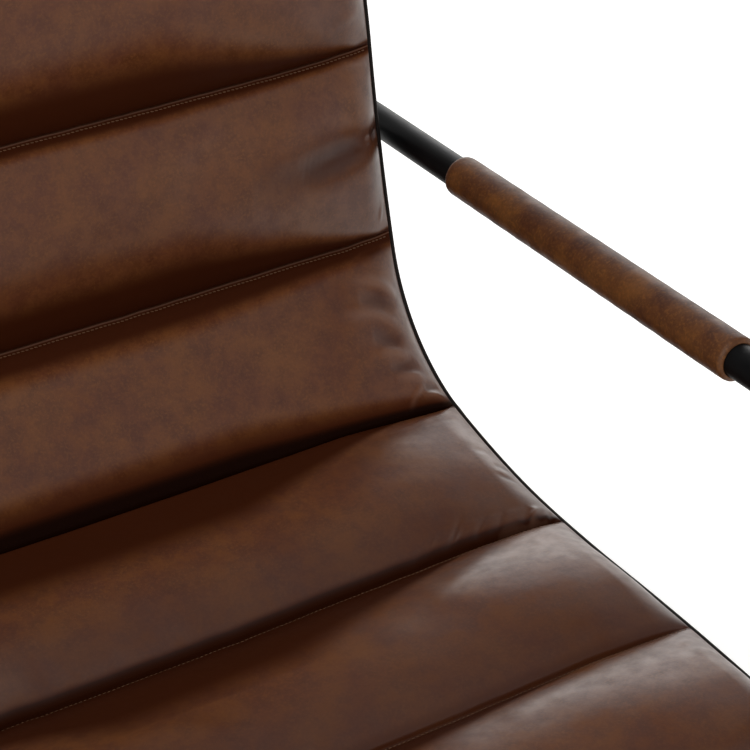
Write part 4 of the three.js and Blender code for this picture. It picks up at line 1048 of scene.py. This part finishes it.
class ROCKER_OT_shell(bpy.types.Operator):
    """Stretch the suspension cloth and the outer leather over the sling's steel"""

    bl_idname = "rocker.shell"
    bl_label = "Suspension cloth and outer leather"

    def execute(self, context):
        rows = channel_rows(-3, 3, 34, 0.4)
        columns = across_columns(111) * COVER_HALF / PAD_HALF
        x, s = np.meshgrid(columns, rows)
        x = rounded_in(x, s, COVER_HALF, -BACK_LENGTH, SEAT_LENGTH, CORNER)
        share = s / CHANNEL - np.round(s / CHANNEL)
        puff = np.clip(np.abs(share) * 2, 0, 1) ** 0.6 * quarter_round((COVER_HALF - np.abs(x)) / 0.05)
        free = 1 - np.exp(-(((s - CROSS_TUBE_S) / 0.02) ** 2))
        seam = np.exp(-((share * CHANNEL / 0.0012) ** 2))
        height = 0.0014 * puff * free - 0.0012 * seam + 0.0003 * ripple(x, s, 21, 0.06) * puff
        front = on_sling(x, s, COVER_DEPTHS[0])
        back = on_sling(x, s, COVER_DEPTHS[1] + height)
        # Painted shade: the outer leather is darkened within 20 mm of each seam, through the seam attribute.
        near = np.tile(np.clip(np.abs(share * CHANNEL).ravel() / 0.02, 0, 1), 2)
        tints = {"seam": 0.25 + 0.75 * near, "polish": np.ones_like(near)}
        made = fitted("outer_cover_leather", closed_sheet(front, back), "seat", "brown_leather",
                      "outer_cover", finish="leather", attributes=tints)

        rows = np.linspace(-BACK_LENGTH + 0.001, SEAT_LENGTH - 0.001, 160)
        x, s = np.meshgrid(np.linspace(-CLOTH_HALF, CLOTH_HALF, 9), rows)
        x = rounded_in(x, s, CLOTH_HALF, -BACK_LENGTH, SEAT_LENGTH, CORNER)
        shape = closed_sheet(*(on_sling(x, s, depth) for depth in SHEET_DEPTHS))
        made = fitted("suspension_sheet_cloth", shape, "seat", "web_cloth", "suspension_sheet")
        return {"FINISHED"}


def arm_z(y):
    """Height of the arm's middle line: 202 mm above the crease there, and rising evenly to the front."""
    return CREASE_Z + 0.202 + ARM_RISE * (CREASE_Y - y)


cross_tube = on_sling(0.0, CROSS_TUBE_S, COVER_DEPTHS[1] + 0.0006 + TUBE_R)
leg_slope = (cross_tube[1] - ARM_FRONT_Y) / (arm_z(ARM_FRONT_Y) - cross_tube[2])


def leg_at(z):
    """The point of the right front leg at a height: the leg is straight from the arm past the cross tube."""
    return np.array([LEG_X, ARM_FRONT_Y + leg_slope * (arm_z(ARM_FRONT_Y) - z), z])


class ROCKER_OT_grips(bpy.types.Operator):
    """Wrap the arm grips in leather and sew them underneath"""

    bl_idname = "rocker.grips"
    bl_label = "Arm grips"

    def execute(self, context):
        settings = context.scene.rocker_sling
        along = unit(np.array([0, -1, ARM_RISE]))
        up = np.cross(X_AXIS, along) * -1
        angle = round_angles(64)
        bore, rounding = TUBE_R + FIT_GAP, 0.0032
        outer = bore + GRIP_WALL
        u = np.linspace(0, 1, 150)
        t = GRIP_LENGTH * (0.75 * u + 0.25 * (1 - np.cos(np.pi * u)) / 2)
        end = np.minimum(t, GRIP_LENGTH - t)
        r = outer - rounding + rounding * quarter_round(end / rounding)
        for side, name in SIDES:
            a, b = np.meshgrid(angle, t)
            seam = np.exp(-((((a - 1.5 * np.pi) * outer) / 0.0011) ** 2))
            skin = r[:, None] + 0.00022 * ripple(a * outer, b, 30 + side, 0.03) - 0.0007 * seam
            skin += 0.00012 * ripple(a * outer, b, 33 + side, 0.011)
            centre = np.array([side * LEG_X, GRIP_REAR_Y, arm_z(GRIP_REAR_Y)]) + t[:, None] * along
            ring = np.cos(a)[..., None] * X_AXIS + np.sin(a)[..., None] * up
            skin_points = centre[:, None] + skin[..., None] * ring
            core = centre[::-1, None] + bore * ring
            points = np.concatenate([skin_points, core]).reshape(-1, 3)
            faces = [grid_quads(2 * len(t), len(angle), wrap_rows=True, wrap_columns=True)]
            made = fitted(f"arm_grip_{name}_leather", (points, outwards(points, faces)), "seat",
                          "brown_leather", f"arm_grip_{name}", finish="grip_leather")

            def place_at(d, aside, lift=0.0, side=side):
                base = np.array([side * LEG_X + 0.0024, GRIP_REAR_Y, arm_z(GRIP_REAR_Y)])
                line = base + d[:, None] * along - up * (outer - 0.00015 + lift)
                return line + X_AXIS * aside

            row = stitch_row(place_at, 0.008, GRIP_LENGTH - 0.016, settings)
            fitted(f"grip_thread_{name}", row, "seat", "brown_leather", finish="thread")
        return {"FINISHED"}


def hoop(corners, radii):
    """The path of a hoop that is the same on both sides: its right half, then that half mirrored."""
    corners = np.array(corners)
    return bent_path([*corners, *(corners[::-1] * (-1, 1, 1))], [*radii, *radii[::-1]])


def weld_bead(at, branch, main, branch_r, main_r, bead_r):
    """A rippled bead where a branch bar meets a main bar: the branch's circle carried back along its axis to
    the main bar, t = sqrt(R^2 - (r sin a)^2), as a closed round tube."""
    branch = unit(np.array(branch, float))
    across = unit(np.cross(main, branch))
    level = np.cross(branch, across)
    angle = round_angles(72)
    offset = branch_r * np.sin(angle)
    back = np.sqrt(np.clip(main_r**2 - offset**2, 0, None))
    line = np.array(at) + branch_r * np.cos(angle)[:, None] * level + offset[:, None] * across
    line = line + back[:, None] * branch
    tangents = unit(np.roll(line, -1, 0) - np.roll(line, 1, 0))
    outward = unit(np.cos(angle)[:, None] * level + np.sin(angle)[:, None] * across)
    binormals = np.cross(tangents, outward)
    section = round_angles(10)
    r = bead_r * (1 + 0.1 * np.sin(angle * 18))[:, None, None]
    ring = np.cos(section)[:, None] * outward[:, None] + np.sin(section)[:, None] * binormals[:, None]
    points = (line[:, None] + r * ring).reshape(-1, 3)
    faces = [grid_quads(len(angle), len(section), wrap_rows=True, wrap_columns=True)]
    return points, outwards(points, faces)


class ROCKER_OT_tubes(bpy.types.Operator):
    """Bend the two hoops, weld in the cross tube and uprights, and fit the leg collars"""

    bl_idname = "rocker.tubes"
    bl_label = "Tube frame"

    def execute(self, context):
        sides, weld = context.scene.rocker_frame.sides, context.scene.rocker_frame.weld
        rear = np.array([LEG_X, ARM_REAR_Y, arm_z(ARM_REAR_Y)])
        front = np.array([LEG_X, ARM_FRONT_Y, arm_z(ARM_FRONT_Y)])
        joint_gap = 0.00015
        lower_rear = np.array([LEG_X, LOWER_REAR_Y, LOWER_Z])
        reach = LEG_X - TUBE_R * 0.6
        bars = [
            ("arm_hoop", "tube", hoop([leg_at(JOINT_Z + joint_gap), front, rear], [0.075, 0.042])),
            ("lower_hoop", "tube",
             hoop([leg_at(JOINT_Z - joint_gap), leg_at(LOWER_Z), lower_rear], [0.038, 0.060])),
            ("front_cross_tube", "round",
             np.linspace([-reach, *cross_tube[1:]], [reach, *cross_tube[1:]], 24)),
        ]
        for name, form, path in bars:
            fitted(f"{name}_{form}", swept(path, TUBE_R, sides), "seat", "black_steel", name, sharp=40)

        beads = []
        leg = unit(front - leg_at(LOWER_Z))
        for side, name in SIDES:
            foot = np.array([side * UPRIGHT_X, LOWER_REAR_Y, LOWER_Z])
            head = np.array([side * UPRIGHT_X, ARM_REAR_Y, arm_z(ARM_REAR_Y)])
            lean = unit(head - foot)
            path = np.linspace(foot + lean * 0.006, head - lean * 0.006, 20)
            fitted(f"rear_upright_{name}_round", swept(path, UPRIGHT_R, sides), "seat", "black_steel",
                   f"rear_upright_{name}", sharp=40)
            beads.append(weld_bead(foot, lean, X_AXIS, UPRIGHT_R, TUBE_R, weld))
            beads.append(weld_bead(head, -lean, X_AXIS, UPRIGHT_R, TUBE_R, weld))
            at = np.array([side * LEG_X, *cross_tube[1:]])
            beads.append(weld_bead(at, -side * X_AXIS, leg, TUBE_R, TUBE_R * 0.999, weld))

            a, b, half = TUBE_R + FIT_GAP, TUBE_R + 0.0029, 0.016
            ring = softened([[a, -half], [b, -half], [b, half], [a, half], [a, -half]], 0.0009)
            points, faces = turned(ring, sides=64)
            down = unit(leg_at(0) - leg_at(1))
            turn = np.stack([X_AXIS, np.cross(down, X_AXIS), down], 1)
            points = points @ turn.T + leg_at(JOINT_Z) * (side, 1, 1)
            fitted(f"leg_collar_{name}_ring", (points, outwards(points, faces)), "seat", "black_steel",
                   f"leg_collar_{name}", sharp=50)
        fitted("frame_weld_beads", merged(*beads), "seat", "black_steel")
        return {"FINISHED"}


class ROCKER_OT_base(bpy.types.Operator):
    """Make the floor ring, its spokes welded to the hub, and the glides"""

    bl_idname = "rocker.base"
    bl_label = "Ring base"

    def execute(self, context):
        sides, weld = context.scene.rocker_frame.sides, context.scene.rocker_frame.weld
        section = round_angles(28)
        r, z = RING_R + RING_BAR_R * np.cos(section), RING_Z + RING_BAR_R * np.sin(section)
        a = round_angles(160)[:, None]
        points = np.stack(np.broadcast_arrays(r * np.cos(a), r * np.sin(a), z), -1).reshape(-1, 3)
        faces = outwards(points, [grid_quads(160, 28, wrap_rows=True, wrap_columns=True)])
        fitted("base_ring_bar", (points, faces), "base", "black_steel", "base_ring")

        low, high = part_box("swivel_hub")
        hub_r, hub_top = (high.x - low.x) / 2, high.z
        beads = []
        for k in range(4):
            turn = np.pi / 2 * k
            spin = np.array([[np.cos(turn), -np.sin(turn), 0], [np.sin(turn), np.cos(turn), 0], [0, 0, 1]])
            inner = np.array([hub_r * 0.86, 0, hub_top - 0.030])
            shoulder = np.array([0.150, 0, inner[2] - 0.009])
            outer = np.array([RING_R, 0, RING_Z])
            outer = outer - unit(outer - shoulder) * RING_BAR_R * 0.5
            path = bent_path([inner, shoulder, outer], [0.130], arc_steps=18) @ spin.T
            fitted(f"base_spoke_{k + 1}_bar", swept(path, RING_BAR_R, sides), "base", "black_steel",
                   f"base_spoke_{k + 1}", sharp=40)
            at_hub, into = np.array([0, 0, inner[2] + 0.001]), unit(shoulder - inner)
            beads.append(weld_bead(spin @ at_hub, spin @ into, [0, 0, 1], RING_BAR_R, hub_r, weld))
            at_ring, along = spin @ np.array([RING_R, 0, RING_Z]), spin @ np.array([0, 1, 0])
            down = unit(shoulder - outer)
            beads.append(weld_bead(at_ring, spin @ down, along, RING_BAR_R * 0.97, RING_BAR_R, weld))
        fitted("base_weld_beads", merged(*beads), "base", "black_steel")

        for k in range(4):
            low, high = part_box(f"floor_glide_{k + 1}")
            centre = ((low.x + high.x) / 2, (low.y + high.y) / 2, 0)
            r = (high.x - low.x) / 2
            outline = [[0, 0], [r - 0.002, 0], [r, 0.003], [r, 0.0085], [r - 0.0015, 0.010], [0, 0.010]]
            shape = turned(softened(outline, 0.0012), centre=centre, sides=48)
            node = f"floor_glide_{k + 1}"
            fitted(node + "_pad", shape, "base", "black_rubber", node, sharp=50)
        return {"FINISHED"}


def turned_from_box(node, outline_of, axis="z", soft=0.0008):
    """A lathe piece in the box of its node: outline_of gets the outer radius and both ends along the axis."""
    low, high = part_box(node)
    x, y, z = ((a + b) / 2 for a, b in zip(low, high))
    if axis == "x":
        centre, outline = (0, y, z), outline_of((high.z - low.z) / 2, low.x, high.x)
    else:
        centre, outline = (x, y, 0), outline_of((high.y - low.y) / 2, low.z, high.z)
    return turned(softened(outline, soft), axis, centre)


class ROCKER_OT_swivel(bpy.types.Operator):
    """Turn the hub, spindle, bushes, washer and nut"""

    bl_idname = "rocker.swivel"
    bl_label = "Swivel"

    def execute(self, context):
        def tube(bore):
            return lambda r, a, b: [[bore, a], [r, a], [r, b], [bore, b], [bore, a]]

        def spindle(r, a, b):
            flange = b - 0.006
            return [[0, a], [0.010, a], [0.010, a + 0.012], [0.015, a + 0.012], [0.015, flange],
                    [r, flange], [r, b], [0, b]]

        def hub(r, a, b):
            c = 0.0025
            return [[0.0216, a], [r - c, a], [r, a + c], [r, b - c], [r - c, b], [0.0216, b], [0.0216, a]]

        bore, wall, flange = 0.0153, 0.0213, 0.003

        def upper_bush(r, a, b):
            f = b - flange
            return [[bore, a], [wall, a], [wall, f], [r, f], [r, b], [bore, b], [bore, a]]

        def lower_bush(r, a, b):
            f = a + flange
            return [[bore, a], [r, a], [r, f], [wall, f], [wall, b], [bore, b], [bore, a]]

        pieces = [
            ("swivel_hub", hub, "base", "black_steel"),
            ("upper_swivel_bush", upper_bush, "base", "nylon"),
            ("lower_swivel_bush", lower_bush, "base", "nylon"),
            ("thrust_washer", tube(bore), "base", "zinc_steel"),
            ("swivel_spindle", spindle, "carriage", "zinc_steel"),
            ("spindle_nut", tube(0.0103), "carriage", "zinc_steel"),
        ]
        for node, outline, body, slot in pieces:
            fitted(node + "_turned", turned_from_box(node, outline), body, slot, node, sharp=40)
        return {"FINISHED"}


def spring_path(low, high):
    """A coil with close end turns, 24 points to a turn: the angle is 2 pi times the turn, and the height is
    the turns wound so far at each pitch times that pitch."""
    pitch = 2 * WIRE_R + 0.0008
    turn = np.linspace(0, SPRING_TURNS, int(SPRING_TURNS * 24) + 1)
    open_turns = SPRING_TURNS - 2
    bottom, top = low + WIRE_R, high - WIRE_R
    open_pitch = (top - bottom - 2 * pitch) / open_turns
    ends = np.minimum(turn, 1) + np.maximum(turn - 1 - open_turns, 0)
    z = bottom + ends * pitch + np.clip(turn - 1, 0, open_turns) * open_pitch
    a = 2 * np.pi * turn
    return np.stack([SPRING_R * np.cos(a), SPRING_R * np.sin(a), z], 1), a


class ROCKER_OT_rocker(bpy.types.Operator):
    """Coil the springs and finish the rocker's plates, pin, bolts and stops"""

    bl_idname = "rocker.rocker"
    bl_label = "Rocker"

    def execute(self, context):
        corners = {"front_left": (-1, -1), "front_right": (1, -1), "rear_left": (-1, 1), "rear_right": (1, 1)}
        for corner, (side, end) in corners.items():
            node = f"rocker_spring_{corner}"
            low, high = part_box(node)
            path, a = spring_path(low.z, high.z)
            path = path + np.array([side * SPRING_X, end * SPRING_Y, 0])
            tangents = unit(np.gradient(path, axis=0))
            radial = np.stack([np.cos(a), np.sin(a), np.zeros_like(a)], 1)
            radial = unit(radial - tangents * (radial * tangents).sum(1, keepdims=True))
            coil = swept(path, WIRE_R, 12, tangents, radial)
            made = new_piece(node + "_coil", *coil, finish_of("spring_steel"), sharp=50)
            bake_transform(made)
            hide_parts(node)

        def pin(r, a, b):
            return [[0, a], [0.008, a], [0.008, b - 0.004], [r, b - 0.004], [r, b], [0, b]]

        def stop(r, a, b):
            return [[0, a], [r, a], [r * 0.74, b], [0, b]]

        def clip(r, a, b):
            return [[0.0083, a], [r, a], [r, b], [0.0083, b], [0.0083, a]]

        def bolt(r, a, b):
            head, washer = a + 0.0034, a + 0.005
            return [[0, a + 0.0016], [0.003, a + 0.0016], [0.0034, a], [0.0065, a], [0.0065, head], [r, head],
                    [r, washer], [0.004, washer], [0.004, b], [0, b]]

        pieces = [
            ("pivot_pin", pin, "seat", "zinc_steel", "x"),
            ("pivot_pin_clip", clip, "seat", "zinc_steel", "x"),
            ("rear_bump_stop", stop, "carriage", "black_rubber", "z"),
            ("front_bump_stop", stop, "carriage", "black_rubber", "z"),
        ]
        pieces += [(f"plate_bolt_{corner}", bolt, "seat", "zinc_steel", "z") for corner in corners]
        for node, outline, body, slot, axis in pieces:
            shape = turned_from_box(node, outline, axis, 0.0005)
            fitted(node + "_turned", shape, body, slot, node, sharp=40)

        for node in ("rocker_cradle", "rocker_top_plate", "front_bearer", "rear_bearer", "sling_top_bar",
                     "sling_back_bar", "sling_front_bar"):
            dress_node(node, "black_steel")
        for side in ("left", "right"):
            for node in ("back_bracket", "seat_riser", "sling_rail"):
                dress_node(f"{node}_{side}", "black_steel")
            dress_node(f"pivot_bush_{side}", "nylon")
        return {"FINISHED"}


def soft_light(name, place_at, aim, size, power):
    """A soft box, size[0] by size[1] metres, that faces a point."""
    data = bpy.data.lights.new(name, "AREA")
    data.shape, data.size, data.size_y, data.energy = "RECTANGLE", size[0], size[1], power
    lamp = bpy.data.objects.new(name, data)
    lamp.location = place_at
    lamp.rotation_euler = (Vector(aim) - Vector(place_at)).to_track_quat("-Z", "Y").to_euler()
    lamp.visible_camera = False
    bpy.context.scene.collection.objects.link(lamp)


class ROCKER_OT_stage(bpy.types.Operator):
    """Set the floor, cove, soft light and camera"""

    bl_idname = "rocker.stage"
    bl_label = "Studio"

    def execute(self, context):
        scene = context.scene
        flat_r, cove_r, wall_top = 6.5, 2.5, 3.4
        bend = np.linspace(-np.pi / 2, 0, 16)[1:]
        curve = np.stack([flat_r + cove_r * np.cos(bend), cove_r + cove_r * np.sin(bend)], 1)
        profile = np.concatenate([[[flat_r, 0]], curve, [[flat_r + cove_r, wall_top]]])
        angle = round_angles(96)
        r, z = profile[:, :1], profile[:, 1:]
        points = np.stack(np.broadcast_arrays(r * np.cos(angle), r * np.sin(angle), z), -1)
        points = np.concatenate([points.reshape(-1, 3), [[0, 0, 0]]])
        faces = [grid_quads(len(profile), 96, wrap_columns=True), fan(np.arange(96), len(points) - 1)]
        finish, tree, output, where = new_finish("Glowing pale studio paint")
        colour = context.scene.rocker_colours.floor[:]
        worn = ranged(tree, noise(tree, where, 0.5, 2.0), 0.3, 0.7, 0.0, 0.02)
        mottle = mixed(tree, worn, colour, linear("#e6e4e0"))
        diffuse = add_node(tree, "ShaderNodeBsdfDiffuse", inputs={"Color": mottle}).outputs[0]
        # Painted light: the floor glows as well as taking light. To the camera it glows 0.55 near the chair
        # and 1.0 from 1 m out, so the floor beyond reads white. In reflections it glows 0.22 to 1.1, brighter
        # towards the right and back, a painted bright studio side for the leather to reflect.
        ray = add_node(tree, "ShaderNodeLightPath").outputs
        seen = maths(tree, "ADD", ray["Is Camera Ray"], ray["Is Glossy Ray"])
        seen = maths(tree, "MINIMUM", maths(tree, "ADD", seen, ray["Is Transmission Ray"]), 1.0)
        parts = add_node(tree, "ShaderNodeSeparateXYZ", inputs={0: where}).outputs
        toward_right = maths(tree, "ADD", parts["X"], maths(tree, "MULTIPLY", parts["Y"], 0.5))
        glossy = ranged(tree, toward_right, -1.5, 2.5, 0.22, 1.1)
        reach = add_node(tree, "ShaderNodeVectorMath", {"operation": "LENGTH"}, {0: where}).outputs["Value"]
        white = ranged(tree, reach, 0.45, 1.0, 0.55, 1.0)
        level = add_node(tree, "ShaderNodeMix", inputs={0: ray["Is Camera Ray"], 2: glossy, 3: white})
        strength = maths(tree, "MULTIPLY", seen, level.outputs[0])
        glow = add_node(tree, "ShaderNodeEmission", inputs={"Color": mottle, "Strength": strength})
        both = add_node(tree, "ShaderNodeAddShader", inputs={0: diffuse, 1: glow.outputs[0]})
        tree.links.new(both.outputs[0], output.inputs["Surface"])
        new_piece("studio_floor", points, faces, finish)

        soft_light("front_left_soft_box", (-1.9, -2.2, 2.6), (0, 0, 0.5), (1.8, 1.8), 62)
        soft_light("overhead_soft_box", (-0.7, 0.4, 3.8), (0, 0, 0.4), (1.8, 1.8), 22)
        soft_light("low_back_soft_box", (2.8, 4.2, 1.45), (0, 0, 0.5), (4.0, 2.4), 42)

        world = bpy.data.worlds.new("Pale studio air")
        scene.world = world
        world.use_nodes = True
        tree = world.node_tree
        tree.nodes.clear()
        ray = add_node(tree, "ShaderNodeLightPath").outputs["Is Camera Ray"]
        aim = add_node(tree, "ShaderNodeTexCoord").outputs["Generated"]
        dot, pale_side = {"operation": "DOT_PRODUCT"}, (1.0, -0.25, -0.25)
        aim = add_node(tree, "ShaderNodeVectorMath", dot, {0: aim, 1: pale_side}).outputs["Value"]
        dim = ranged(tree, aim, 0.0, 1.0, 0.2, 0.8)
        strength = add_node(tree, "ShaderNodeMix", inputs={0: ray, 2: dim, 3: 1.0}).outputs[0]
        air = add_node(tree, "ShaderNodeBackground", inputs={"Color": (1, 1, 1, 1), "Strength": strength})
        sky = add_node(tree, "ShaderNodeOutputWorld")
        tree.links.new(air.outputs[0], sky.inputs["Surface"])

        scene.view_settings.view_transform = "Standard"
        data = bpy.data.cameras.new("camera")
        data.lens, data.sensor_width = 115.2, 36.0
        data.clip_start, data.clip_end = 0.05, 60
        camera = bpy.data.objects.new("camera", data)
        camera.location = (-0.578, -1.234, 1.5454)
        camera.rotation_euler = (math.radians(55.17), 0, math.radians(-30.04))
        scene.collection.objects.link(camera)
        scene.camera = camera
        return {"FINISHED"}


class ROCKER_PT_panel(bpy.types.Panel):
    """Lists the steps that build the chair"""

    bl_label = "Swivel rocker"
    bl_idname = "ROCKER_PT_panel"
    bl_space_type = "VIEW_3D"
    bl_region_type = "UI"
    bl_category = "Rocker"

    def draw(self, context):
        layout = self.layout
        for group in ("rocker_sling", "rocker_frame", "rocker_colours"):
            settings = getattr(context.scene, group)
            box = layout.box()
            for key in settings.bl_rna.properties.keys():
                if key not in ("rna_type", "name"):
                    box.prop(settings, key)
        for step in steps:
            layout.operator(step.bl_idname)


steps = (
    ROCKER_OT_stage,
    ROCKER_OT_cushions,
    ROCKER_OT_stitching,
    ROCKER_OT_edge,
    ROCKER_OT_shell,
    ROCKER_OT_grips,
    ROCKER_OT_tubes,
    ROCKER_OT_base,
    ROCKER_OT_swivel,
    ROCKER_OT_rocker,
)
groups = {"rocker_sling": RockerSling, "rocker_frame": RockerFrame, "rocker_colours": RockerColours}
classes = (*groups.values(), *steps, ROCKER_PT_panel)


def register():
    """Register the classes and hang the settings on the scene."""
    for cls in classes:
        bpy.utils.register_class(cls)
    for key, cls in groups.items():
        setattr(bpy.types.Scene, key, PointerProperty(type=cls))


def unregister():
    """Undo register."""
    for key in groups:
        delattr(bpy.types.Scene, key)
    for cls in reversed(classes):
        bpy.utils.unregister_class(cls)


def main():
    """Build the chair step by step."""
    register()
    for step in steps:
        category, name = step.bl_idname.split(".")
        getattr(getattr(bpy.ops, category), name)()
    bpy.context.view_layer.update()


if __name__ == "__main__":
    main()
